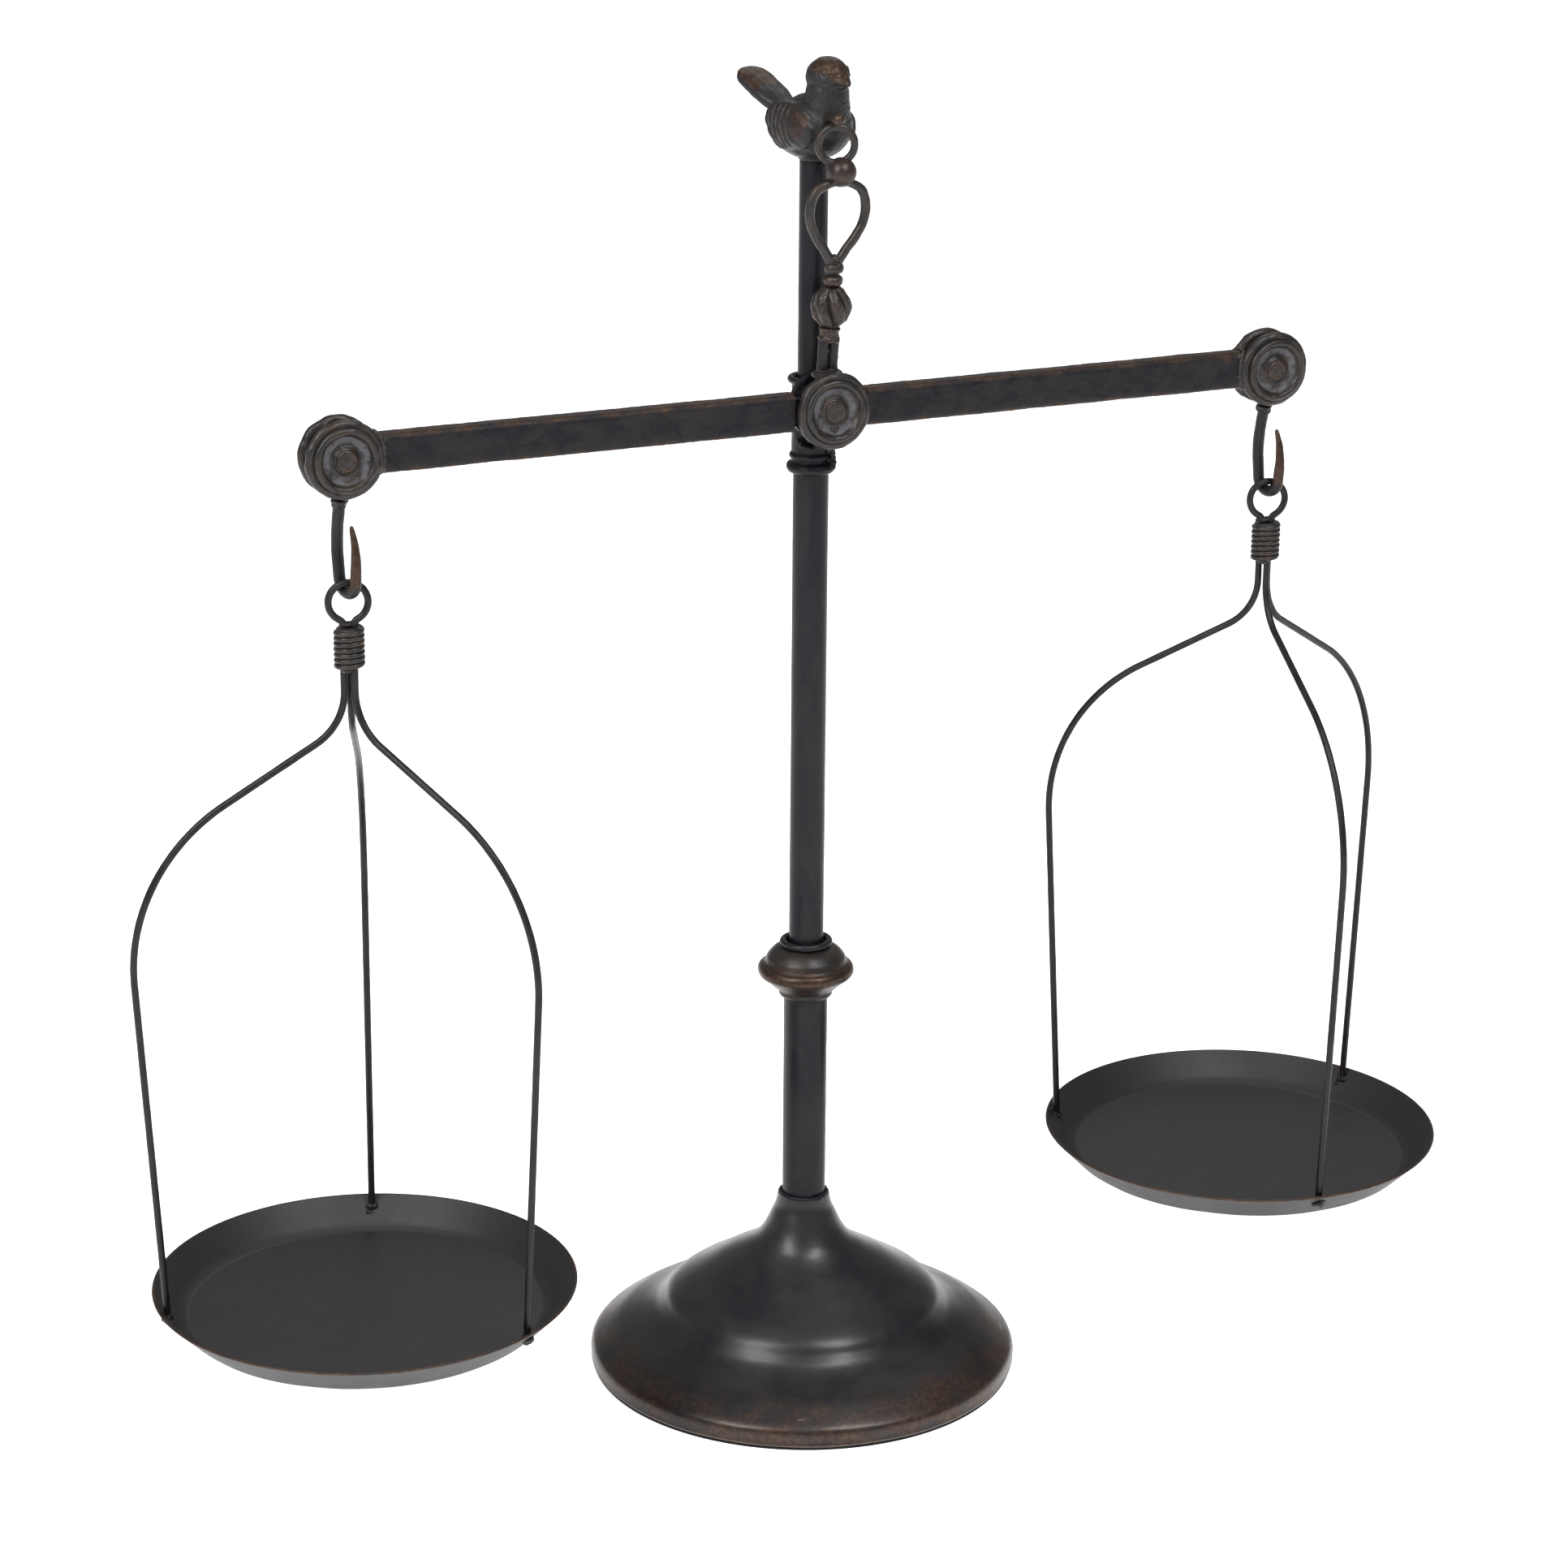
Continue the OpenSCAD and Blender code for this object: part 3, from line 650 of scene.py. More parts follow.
def finishes():
    """The finishes, made once from the panel's colours."""
    if FINISHES:
        return FINISHES
    hues = bpy.context.scene.balance_colours
    finest = sizes().grain / MM
    for key, (name, ground, shade, numbers) in METALS.items():
        FINISHES[key] = metal(
            name, colour4(getattr(hues, ground)), colour4(getattr(hues, shade)),
            colour4(hues.rubbed_and_highlight), colour4(hues.powder_and_reflection),
            **dict(numbers, grain=numbers["grain"] * finest))
    FINISHES["felt"] = felt_finish(
        "pressed_felt", colour4(hues.felt), colour4(2.2 * c for c in hues.felt))
    return FINISHES


def hue(name, description, *parts):
    """A colour setting."""
    return bpy.props.FloatVectorProperty(
        name=name, description=description, subtype="COLOR", size=3, min=0, max=1,
        default=parts)


def length(name, description, usual, least, most):
    """A length setting in metres."""
    return bpy.props.FloatProperty(
        name=name, description=description, default=usual, min=least, max=most, unit="LENGTH")


def angle(name, description, degrees):
    """An angle setting."""
    return bpy.props.FloatProperty(
        name=name, description=description, default=math.radians(degrees), subtype="ANGLE")


class BalanceColours(bpy.types.PropertyGroup):
    """Colours of the finishes."""

    enamel: hue("Black enamel", "Ground colour of the base, the post and the wires",
                0.0062, 0.0056, 0.0085)
    enamel_shade: hue("Enamel shade", "Lighter clouds in the black enamel",
                      0.014, 0.013, 0.0155)
    iron: hue("Dark iron", "Ground colour of the castings", 0.015, 0.0138, 0.0142)
    bronze: hue("Dull bronze", "Cloudy second colour of the castings", 0.029, 0.022, 0.018)
    # Rubbed brown: the colour of worn edges and crests, and of the painted highlight on the bird's
    # shoulders.
    rubbed_and_highlight: hue("Rubbed brown", "Brown that shows where edges and crests are worn",
                0.066, 0.038, 0.024)
    # Pale colour of the tagged hollows: partly powder, partly a painted reflection of the lamps on
    # rough metal.
    powder_and_reflection: hue("Pale powder", "Grey powder in the discs' hollows", 0.075, 0.073, 0.082)
    felt: hue("Felt", "Colour of the pad under the base", 0.008, 0.008, 0.008)
    floor: hue("Floor", "Colour of the floor under the scale", 0.93, 0.93, 0.93)


class BalanceSizes(bpy.types.PropertyGroup):
    """Sizes of the detail that the makers' work leaves on the pieces."""

    grain: length("Surface grain", "Size of the finest patches in the finishes",
                  0.0009, 0.0003, 0.003)
    unevenness: length("Casting unevenness", "Depth of the soft waves on cast surfaces",
                       0.00016, 0.0, 0.0004)
    weld_height: length("Weld run", "Radius of the weld runs between beam and hubs",
                        0.0012, 0.0006, 0.002)
    lobes: bpy.props.IntProperty(
        name="Knob lobes", description="Number of lobes round the hanger's knob",
        default=6, min=5, max=14)
    feather_depth: length("Feather depth", "Height of the feather rows on the bird's wings",
                          0.00055, 0.0, 0.001)
    camera_turn: angle("Camera turn", "Direction of the camera round the scale, from the front",
                       -24.782)
    camera_rise: angle("Camera rise", "Height angle of the camera above the floor", 18.29)


def sizes():
    """The panel's sizes."""
    return bpy.context.scene.balance_sizes


# ---- outlines of the single pieces


def base_outline(radius, top, edge):
    """Outline of the hollow base: the outer curve from the neck down to the foot, then the inner
    curve 2.2 mm inside it."""
    outer = curve([
        [11.4, top], [12.4, top - 5], [14.2, top - 9.2], [17.4, top - 16], [21.6, 58.2],
        [28, 53.2], [37, 47.8], [46, 42.2], [55, 36.6], [59.6, 33], [62.6, 29], [66, 25.4],
        [71, 22.2], [77, 19.4], [83, 16.6], [89, 12.9], [93, 10.1], [radius - 0.5, 8.3],
        [radius, 6.3]], 8)
    foot = [[radius, edge + 1.4], [radius - 0.8, edge], [radius - 2.2, edge],
            [radius - 2.2, 5.5]]
    inner = outer[outer[:, 0] < radius - 3][::-1] - np.array([1.0, 2.3])
    inner = inner[inner[:, 0] > 16]
    lip = [[9.55, 52], [9.55, top - 0.6], [10.1, top], [10.9, top]]
    return np.concatenate([lip, finer(outer, 1.2), soften(foot, 0.5), inner[::2]])


def disc_outline(radius, height):
    """Outline of a hub disc: rolled rim, groove, raised ring, dished hollow and flat boss."""
    rim = arc([radius - 2.2, 2.2], 2.2, -80, 96, 14)
    ring = arc([radius - 4.3, height - 1.5], 1.5, 10, 165, 12)
    hollow = curve([[radius - 6.1, height - 1.5], [radius - 7.0, height - 2.3],
                    [DISC_BOSS + 1.8, height - 2.8], [DISC_BOSS + 0.5, height - 2.5]], 5)
    top = [[DISC_BOSS - 0.4, height - 1.6], [DISC_BOSS - 1.4, height - 1.3],
           [PIN_BORE, height - 1.3]]
    return np.concatenate([[[PIN_BORE, 0], [radius - 1.8, 0]], rim,
                           [[radius - 2.8, 4.15]], ring, hollow, top])


def disc_shape(radius, height, centre, turn, seed):
    """A hub disc: its outline revolved, with soft casting waves."""
    shape = revolve(finer(disc_outline(radius, height), 0.7), centre, turn, 128)
    return roughen(shape, sizes().unevenness / MM * 1.3, 7.0, seed)


def disc_tags(shape, centre, facing):
    """Pale patches as a painted reflection in the hollow, and brown on the raised ring and the rim
    of a hub disc, from the distance to its axis and a ripple."""
    points = shape[0]
    away = np.hypot(points[:, 0] - centre[0], points[:, 2] - centre[2])
    level = (points[:, 1] - centre[1]) * facing
    spread = ripple(points, 6.0, 31)
    hollow = smooth(away, 5.4, 8.0) * (1 - smooth(away, 9.2, 10.6)) * smooth(level, 1.5, 2.5)
    # The hollow's pale patches are a painted reflection of the lamps on rough metal.
    dust = hollow * (0.7 + 0.45 * spread)
    ring = smooth(away, 10.2, 11.6) * (1 - smooth(away, 13.0, 14.0)) * smooth(level, 2.5, 4)
    rim = smooth(away, 14.4, 15.6)
    brown = 0.1 * ring + 0.04 * rim + 0.2 * spread
    return brown, np.clip(dust, 0, 1)


def rivet_shape(head, length, centre, seed, back=True):
    """A riveted pin along the depth axis: shank between two low upset heads, each flat with a
    rounded edge and slightly out of round."""
    upset = [[0, PIN_UPSET], [head - 1.0, PIN_UPSET * 0.96], [head - 0.3, PIN_UPSET * 0.62],
             [head, 0]]
    outline = [[r, length + rise] for r, rise in upset] + [[PIN_RADIUS, length], [PIN_RADIUS, 0]]
    outline += [[r, -rise] for r, rise in upset[::-1]] if back else [[0, 0]]
    shape = turned(outline, 0.25, 0.5, centre, FORWARD, 56, closed=False)
    return roughen(shape, 0.13, 3.2, seed)


def bar_shape(side, start, reach, centre, hub, height, depth):
    """A beam tube: a rounded rectangle carried along X from its inner end to the hub's round
    edge, where each line stops at the circle; walls 1.5 mm, dented a little."""
    section = rounded_box(depth / 2, height / 2, 3.4, 10, 0.75)
    walls = 2 * BEAM_WALL
    inner = section * np.array([(depth - walls) / depth, (height - walls) / height])
    far = reach - np.sqrt(np.maximum(hub ** 2 - section[:, 1] ** 2, 0)) - start
    t = np.linspace(0, 1, 200)[:, None]

    def wall(line):
        along = start + t * far[None, :]
        return np.stack([side * along, centre[1] + line[None, :, 0] + 0 * along,
                         centre[2] + line[None, :, 1] + 0 * along], -1)

    shape = grid(np.concatenate([wall(section), wall(inner)[::-1]]), True, True)
    shape = roughen(shape, 0.1, 16.0, 3 + side, 2)
    return roughen(shape, 0.09, 3.4, 8 + side, 2)


def hook_path(drop):
    """Centre line of a hook in its own plane: how far in front, and height above the pin."""
    return np.concatenate([
        curve([[0, -5.2], [0, -16], [-0.6, -21], [-2, -29], [-2.5, -37], [-2.1, -43]], 8),
        arc([HOOK_BEND, 6 - drop], 6, 186, 352, 26),
        curve([[10.9, -44], [11, -38.5], [10.2, -32.5], [8.4, -27]], 8)])


def arm_path(bundle, top, bottom, bulge, rim, foot):
    """Centre line of a pan arm in its own plane, as distance from the axis and height: straight
    in the winding, an inner bend, an outer bend and a straight foot."""
    return np.concatenate([
        [[bundle, top - 5], [bundle, bottom + 1]],
        arc([bundle + 24, bottom + 9.4 - 18.4], 24, 180, 241, 16),
        arc([bulge - 78, rim + 148], 78, 61, -3, 40),
        [foot]])


# ---- the pieces


def base_pieces():
    """Base with its weld and felt."""
    low, high = corners("base_shell")
    radius, top, edge = (high[0] - low[0]) / 2 - 0.12, high[2], low[2]
    shape = revolve(base_outline(radius, top, edge), (0, 0, 0), UPRIGHT, 200)
    shape = roughen(shape, sizes().unevenness / MM * 0.5, 34.0, 11, 2)
    points = shape[0]
    away = np.hypot(points[:, 0], points[:, 1])
    patchy = 0.5 + 0.5 * ripple(points, 22.0, 12)
    brown = smooth(away, radius - 26, radius - 5) * (0.26 + 0.5 * patchy)
    brown += smooth(away, radius - 1.2, radius - 0.3) * 0.2 * patchy
    put("turned_base", shape, "stand", "base", ["base_shell"], brown)

    run = bead(circle(10.2, 160, top + 0.05), (0, 0, 1), 0.95, 21, True, 3.1)
    drop = blob((1.5, -11.0, top + 0.2), (2.2, 1.1, 0.8), 22, 0.12, 2.0)
    put("neck_weld_run", join(run, drop), "stand", "post", ["neck_weld"])

    low, high = corners("felt_pad")
    pad = (high[0] - low[0]) / 2
    shape = turned([[0, 0], [pad, 0], [pad, high[2]], [0, high[2]]], 0.45, 2.0, around=160)
    put("felt_foot", shape, "stand", "felt", ["felt_pad"])
    dress("base_plate", "base")


def tube_shape(node, wall, seed):
    """A drawn tube between a node's ends: a hollow outline revolved, with slow waves."""
    low, high = corners(node)
    radius = (high[0] - low[0]) / 2
    outline = [[radius, low[2]], [radius, high[2]], [radius - wall, high[2]],
               [radius - wall, low[2]]]
    shape = turned(outline, 0.35, 3.0, around=72)
    return roughen(shape, 0.05, 30.0, seed, 2)


def post_pieces():
    """The three post tubes."""
    for name, node, seed in (("lower_post", "lower_tube", 41), ("middle_post", "mid_tube", 42),
                             ("upper_post", "upper_tube", 43)):
        shape = tube_shape(node, 1.3, seed)
        put(name, shape, "stand", "post", [node])


def put_wire_ring(name, node, seed, lean, wobble):
    """A closed wire ring that lies on the post: a circle carried round with a slight lean and
    wobble, its butt joint filed over."""
    low, high = corners(node)
    wire = (high[2] - low[2]) / 2
    mid = (high[0] - low[0]) / 2 - wire
    t = np.linspace(0, 2 * np.pi, 120, endpoint=False)
    path = circle(mid, 120, mid * math.sin(math.radians(lean)) * np.cos(t - 0.6))
    path[:, 2] += wobble * ripple(path, 16.0, seed)
    joint = np.exp(-((t - 4.2) / 0.09) ** 2) * 0.12
    path = path + np.asarray((0, 0, (low[2] + high[2]) / 2))
    ring = sweep(path, (0, 0, 1), wire * (1 + joint) - 0.03, 20, True)
    ring = roughen(ring, 0.05, 3.0, seed + 1)
    put(name, ring, "stand", "wire", [node])


def knop_pieces():
    """The turned knop and the wire ring that lies on it."""
    low, high = corners("knop")
    r, z = (high[0] - low[0]) / 2, low[2] + 17
    outline = np.concatenate([
        [[7.6, -17], [8.1, -17], [8.1, -12], [11.2, -12.0], [11.9, -10.8], [11.8, -9.6]],
        curve([[12.6, -8.6], [14.2, -7.4], [16.2, -5.6]], 4), [[16.9, -4.9], [17.4, -4.6]],
        arc([r - 3.2, -0.3], 3.2, -72, 68, 18),
        curve([[r - 3.0, 3.6], [17.6, 4.6], [16.8, 6.4], [14.6, 8.8], [12.4, 10.2],
               [10.2, 10.8]], 5),
        [[7.6, 10.8]]])
    shape = turned(outline, 0.3, 0.8, (0, 0, z), UPRIGHT, 128)
    shape = roughen(shape, 0.08, 9.0, 51)
    points = shape[0]
    level = points[:, 2] - z
    away = np.hypot(points[:, 0], points[:, 1])
    spread = ripple(points, 7.0, 52)
    band = smooth(away, 11.5, 16.5) * (1 - smooth(level, 3.4, 7.5))
    brown = 0.62 * band + 0.12 * spread - 0.15 * smooth(level, 5, 8)
    put("turned_knop", shape, "stand", "knop", ["knop"], brown)

    put_wire_ring("knop_wire_ring", "knop_ring", 53, 0.5, 0.12)


def collar_pieces():
    """The moulded collar behind the beam, its wire ring and its weld runs."""
    low, high = corners("collar")
    z, top = low[2], high[2]
    outline = np.concatenate([
        [[7.52, 0], [8.2, 0.05]], arc([8.1, 2.6], 2.35, -72, 74, 12), [[8.3, 5.6]],
        arc([7.6, 7.6], 1.65, -58, 60, 10), [[8.3, 9.7], [8.3, top - z], [7.52, top - z]]])
    shape = turned(outline, 0.25, 0.7, (0, 0, z))
    shape = roughen(shape, 0.08, 6.0, 61)
    put("moulded_collar", shape, "stand", "post", ["collar"])

    put_wire_ring("collar_wire_ring", "collar_ring", 62, 0.0, 0.05)

    right = curve([[6.6, -7.6, z + 16.5], [5.6, -8.9, z + 12], [6.4, -8.0, z + 7.5],
                   [5.6, -9.1, z + 3.5]], 10)
    left = curve([[-8.4, -5.6, z + 15.5], [-6.8, -7.6, z + 13.0], [-3.6, -9.0, z + 12.2]], 10)
    middle_run = curve([[-2.6, -9.2, z + 13.2], [1.6, -9.4, z + 12.4], [5.4, -8.8, z + 13.6]], 10)
    lump = blob((4.4, -9.0, z + 13.6), (2.6, 1.7, 2.4), 66, 0.4, 2.6)
    welds = join(bead(right, (1, 0, 0), 1.25, 63), bead(left, (0, 0, 1), 1.3, 64),
                 bead(middle_run, (0, 0, 1), 1.8, 65), lump)
    put("collar_weld_run", welds, "stand", "bar", ["collar_weld"])


def centre_hub_pieces():
    """Front disc and riveted pivot of the central hub."""
    low, high = corners("front_cheek")
    centre = np.array([0, high[1], (low[2] + high[2]) / 2])
    radius, height = (high[2] - low[2]) / 2, high[1] - low[1]
    shape = disc_shape(radius, height, centre, FORWARD, 71)
    brown, dust = disc_tags(shape, centre, -1)
    put("centre_front_disc", shape, "stand", "cast", ["front_cheek"],
        brown * 0.6, dust)

    low, high = corners("pivot_pin")
    pin = rivet_shape(4.7, high[1] - low[1] - PIN_UPSET, (0, high[1], centre[2]), 72, False)
    put("pivot_rivet", pin, "stand", "cast", ["pivot_pin"], 0.36)
    for node in ("rear_cheek", "beam_eye"):
        dress(node, "bar")


def end_hub_pieces():
    """Discs, pins, tubes and weld runs at the beam's two ends."""
    for name, side in SIDES:
        centre = middle(f"{name}_end_pin")
        for where, turn, sign, seed in (("front", FORWARD, -1, 81), ("rear", BACKWARD, 1, 82)):
            low, high = corners(f"{name}_hub_front")
            radius = (high[2] - low[2]) / 2
            place_at = centre + np.array([0, sign * DISC_GAP, 0])
            shape = disc_shape(radius, DISC_HEIGHT, place_at, turn, seed + 4 * side)
            brown, dust = disc_tags(shape, place_at, sign)
            if where == "rear":
                block = blob(centre - np.array([side * 14.2, 0, 0]), (4.6, 2.5, 7.8), 83, 0.1,
                             4.0, 0.45)
                brown = np.concatenate([brown, np.zeros(len(block[0]))])
                dust = np.concatenate([dust, np.zeros(len(block[0]))])
                shape = join(shape, block)
            put(f"{name}_{where}_disc", shape, "beam", "cast",
                [f"{name}_hub_{where}"], brown, dust)
        pin = rivet_shape(4.6, END_PIN_LENGTH, centre + np.array([0, END_PIN_LENGTH / 2, 0]),
                          85 + side)
        put(f"{name}_end_rivet", pin, "beam", "cast", [f"{name}_end_pin"], 0.36)

        low, high = corners(f"{name}_beam_tube")
        start = high[0] * -1 if side < 0 else low[0]
        tall, thick = high[2] - low[2], high[1] - low[1]
        mid = (low + high) / 2
        bar = bar_shape(side, start - BEAM_START, abs(centre[0]), mid, radius + 0.02, tall, thick)
        level = (bar[0][:, 2] - mid[2]) / (tall / 2)
        spread = ripple(bar[0], 12.0, 87 + side)
        brown = 0.6 * smooth(-level, 0.66, 0.98) + 0.5 * smooth(level, 0.6, 0.97)
        brown = brown + 0.2 * spread
        put(f"{name}_beam_bar", bar, "beam", "bar",
            [f"{name}_beam_tube"], brown)

        edge = rounded_box(thick / 2 - 0.2, tall / 2 - 0.2, 3.2, 8, 0.4)
        out = abs(centre[0]) - np.sqrt(radius ** 2 - edge[:, 1] ** 2) - 0.2
        path = np.stack([side * out, mid[1] + edge[:, 0], mid[2] + edge[:, 1]], 1)
        run = bead(path, (1, 0, 0), sizes().weld_height / MM, 90 + side, True, 2.6)
        lumps = [blob((side * (out.max() - 1.2), mid[1] - thick / 2 + 0.6, mid[2] + z),
                      (2.3, 1.2, 1.6), 92 + k, 0.3, 2.4) for k, z in enumerate((-5.4, -2.6, 6.0))]
        put(f"{name}_bar_weld", join(run, *lumps), "beam", "cast",
            [f"{name}_end_weld"])


def hook_pieces():
    """The two hooks: eye, neck, shank and tapered tip."""
    for name, side in SIDES:
        pin = middle(f"{name}_end_pin")
        line = hook_path(pin[2] - corners(f"{name}_hook")[0][2] - 2.5)
        turn = math.radians(HOOK_TURN)
        ahead = line[:, 0] - HOOK_BEND
        path = np.stack([ahead * math.sin(turn), -HOOK_BEND - ahead * math.cos(turn),
                         line[:, 1]], 1) + pin
        size = 1.92 + 0.55 * smooth(-line[:, 1], 17.0, 20.0)
        taper = 34
        tip = np.clip((np.arange(len(line)) - (len(line) - 1 - taper)) / taper, 0, 1)
        size = size - 1.62 * tip ** 1.7
        rod = sweep(path, (math.cos(turn), math.sin(turn), 0), size, 22)
        rod = roughen(rod, 0.06, 5.0, 101 + side)
        eye = turned([[3.05, -2.1], [6.2, -2.1], [6.2, 2.1], [3.05, 2.1]], 0.5, 0.8, pin,
                     FORWARD, 56)
        nub = turned([[0, -20.6], [2.5, -20.6], [3.0, -19.4], [3.6, -17.4], [2.9, -16.5],
                      [0, -16.5]], 0.4, 0.5, pin + np.array([-1.09, -0.13, 0]), UPRIGHT, 40,
                     lambda t, h: 1 + 0.07 * np.sin(3 * t + h), False)
        nub = roughen(nub, 0.22, 2.6, 104 + side)
        shape = join(rod, eye, nub)
        rising = smooth(shape[0][:, 2], pin[2] - 53.5, pin[2] - 47.0)
        front = smooth(-(shape[0][:, 1] - pin[1]), 5.0, 8.0)
        brown = 0.95 * rising * front * (shape[0][:, 2] < pin[2] - 20)
        put(f"{name}_bent_hook", shape, f"{name}_hook", "wire",
            [f"{name}_hook"], brown)


def ring_and_winding_pieces():
    """The pan rings with their ends in the winding, and the wound wire below them."""
    turn = about(Z, RING_TURN)
    for name, side in SIDES:
        low, high = corners(f"{name}_pan_ring")
        centre = (low + high) / 2
        outer = (high[2] - low[2]) / 2
        mid = outer - RING_WIRE
        neck = outer + 3.2
        around = arc([0, 0], mid, -128, -412, 56)
        start = curve([[-1.9, -neck], [-2.0, -mid - 1.3], [-3.2, -mid + 0.7]], 6)
        line = np.concatenate([start[:-1], around, start[::-1][1:] * np.array([-1, 1])])
        path = standing(line) @ turn.T + centre
        rod = sweep(even(path, 0.6), turn[:, 1], RING_WIRE, 18)
        rod = roughen(rod, 0.04, 4.0, 111 + side)
        lump = blob(centre + np.array([0, 0, -outer + 0.3]), (3.4, 1.9, 1.3), 113, 0.25, 2.4)
        shape = join(rod, lump)
        put(f"{name}_hung_ring", shape, f"{name}_pan", "wire",
            [f"{name}_pan_ring"])

        low, high = corners(f"{name}_wrap")
        axis = (low + high) / 2
        tall = high[2] - low[2]
        width = (high[0] - low[0]) / 2
        turns = WINDING_TURNS
        pitch = tall / turns
        r = pitch / 2 * 1.02
        t = np.linspace(0, 2 * np.pi * (turns - 0.9), 60 * turns)
        coil = np.stack([(width - r) * np.cos(t + 1.2), (width - r) * np.sin(t + 1.2),
                         -tall / 2 + pitch * 0.5 + (pitch * (turns - 1)) * t / t[-1]], 1)
        coil += axis
        radial = coil - axis
        radial[:, 2] = 0
        wound = sweep(coil, radial, r * (1 + 0.03 * ripple(coil, 6.0, 117)), 12)
        wound = roughen(wound, 0.05, 2.6, 118 + side)
        core = revolve(soften([[0, -tall / 2 + 1.0], [width - r, -tall / 2 + 1.0],
                               [width - r, tall / 2 - 0.9], [0, tall / 2 - 0.9]], 0.8, False),
                       axis, UPRIGHT, 48)
        base = blob(axis + np.array([-2.2, -2.6, -tall / 2 + 0.6]), (2.4, 2.2, 1.2), 119, 0.25,
                    2.2)
        shape = join(wound, core, base)
        spread = ripple(shape[0], 7.0, 120)
        level = (shape[0][:, 2] - axis[2]) / (tall / 2)
        brown = 0.16 * (1 - smooth(np.abs(level), 0.55, 0.95)) + 0.2 * spread
        put(f"{name}_winding", shape, f"{name}_pan", "cast",
            [f"{name}_wrap"], brown, 0.18 + 0.1 * spread)


def pan_pieces():
    """The pans, their wire arms and the weld drops between them."""
    for name, side in SIDES:
        low, high = corners(f"{name}_dish")
        axis = (low + high) / 2
        rim, radius, deep = high[2], (high[0] - low[0]) / 2 - 0.03, high[2] - low[2]
        floor_r = radius - deep + 1.2
        outline = np.concatenate([
            [[0, -deep], [floor_r - 2.5, -deep]],
            curve([[floor_r - 1.5, -deep], [floor_r, -deep + 0.55], [floor_r + 2, -deep + 2.5]], 4),
            curve([[radius - 2, -2.7], [radius - 0.3, -1.0], [radius, -0.45],
                   [radius - 0.35, -0.02], [radius - 0.9, -0.05], [radius - 1.5, -0.65]], 4),
            curve([[floor_r + 1.2, -deep + 3.2], [floor_r - 0.9, -deep + 1.75],
                   [floor_r - 2.2, -deep + 1.22], [floor_r - 4, -deep + 1.2]], 4),
            [[0, -deep + 1.2]]])
        shape = revolve(finer(outline, 2.4), (axis[0], axis[1], rim), UPRIGHT, 176)
        lift = smooth(rim - shape[0][:, 2], 0.2, 3.0)
        wave = 0.16 * ripple(shape[0], 42.0, 131 + side, 2) * lift
        shape[0][:, 2] += np.clip(wave, 0, 1)
        points = shape[0]
        away = np.hypot(points[:, 0] - axis[0], points[:, 1] - axis[1])
        spread = ripple(points, 26.0, 132)
        brown = smooth(away, radius - 2.2, radius - 0.3) * (0.42 + 0.25 * spread)
        corner = np.exp(-((away - floor_r + 1) / 2.2) ** 2)
        put(f"{name}_pan_dish", shape, f"{name}_pan", "pan",
            [f"{name}_dish"], brown, 0.22 * corner * (0.6 + 0.5 * spread))

        wrap_low, wrap_high = corners(f"{name}_wrap")
        line = finer(arm_path(ARM_BUNDLE, wrap_high[2], wrap_low[2], ARM_BULGE, rim,
                              (radius - 4.6, rim - 5.2)), 2.2)
        drops = []
        for k, part in enumerate(("rear", "outer", "front")):
            spin = about(Z, ARM_TURNS[name][k])
            path = standing(line) @ spin.T + np.array([axis[0], axis[1], 0])
            rod = sweep(path, spin[:, 1], ARM_WIRE, 16)
            rod = roughen(rod, 0.035, 9.0, 135 + k)
            level = rod[0][:, 2]
            brown = 0.16 * ripple(rod[0], 22.0, 139 + k) + 0.22 * (1 - smooth(level, 86, 130))
            put(f"{name}_arm_wire_{part}", rod, f"{name}_pan", "wire",
                [f"{name}_arm_{part}"], brown)
            seat = spin @ np.array([radius - 4.3, 0, 0]) + np.array([axis[0], axis[1], rim - 4.6])
            drops.append(blob(seat, (2.3, 3.0, 2.4), 141 + k, 0.35, 2.4, 1.0, spin))
            seat = seat + spin @ np.array([-1.6, 1.4, -2.0])
            drops.append(blob(seat, (1.8, 2.0, 1.4), 145 + k, 0.3, 2.0, 1.0, spin))
        put(f"{name}_arm_weld_drops", join(*drops), f"{name}_pan", "wire",
            [f"{name}_arm_welds"])


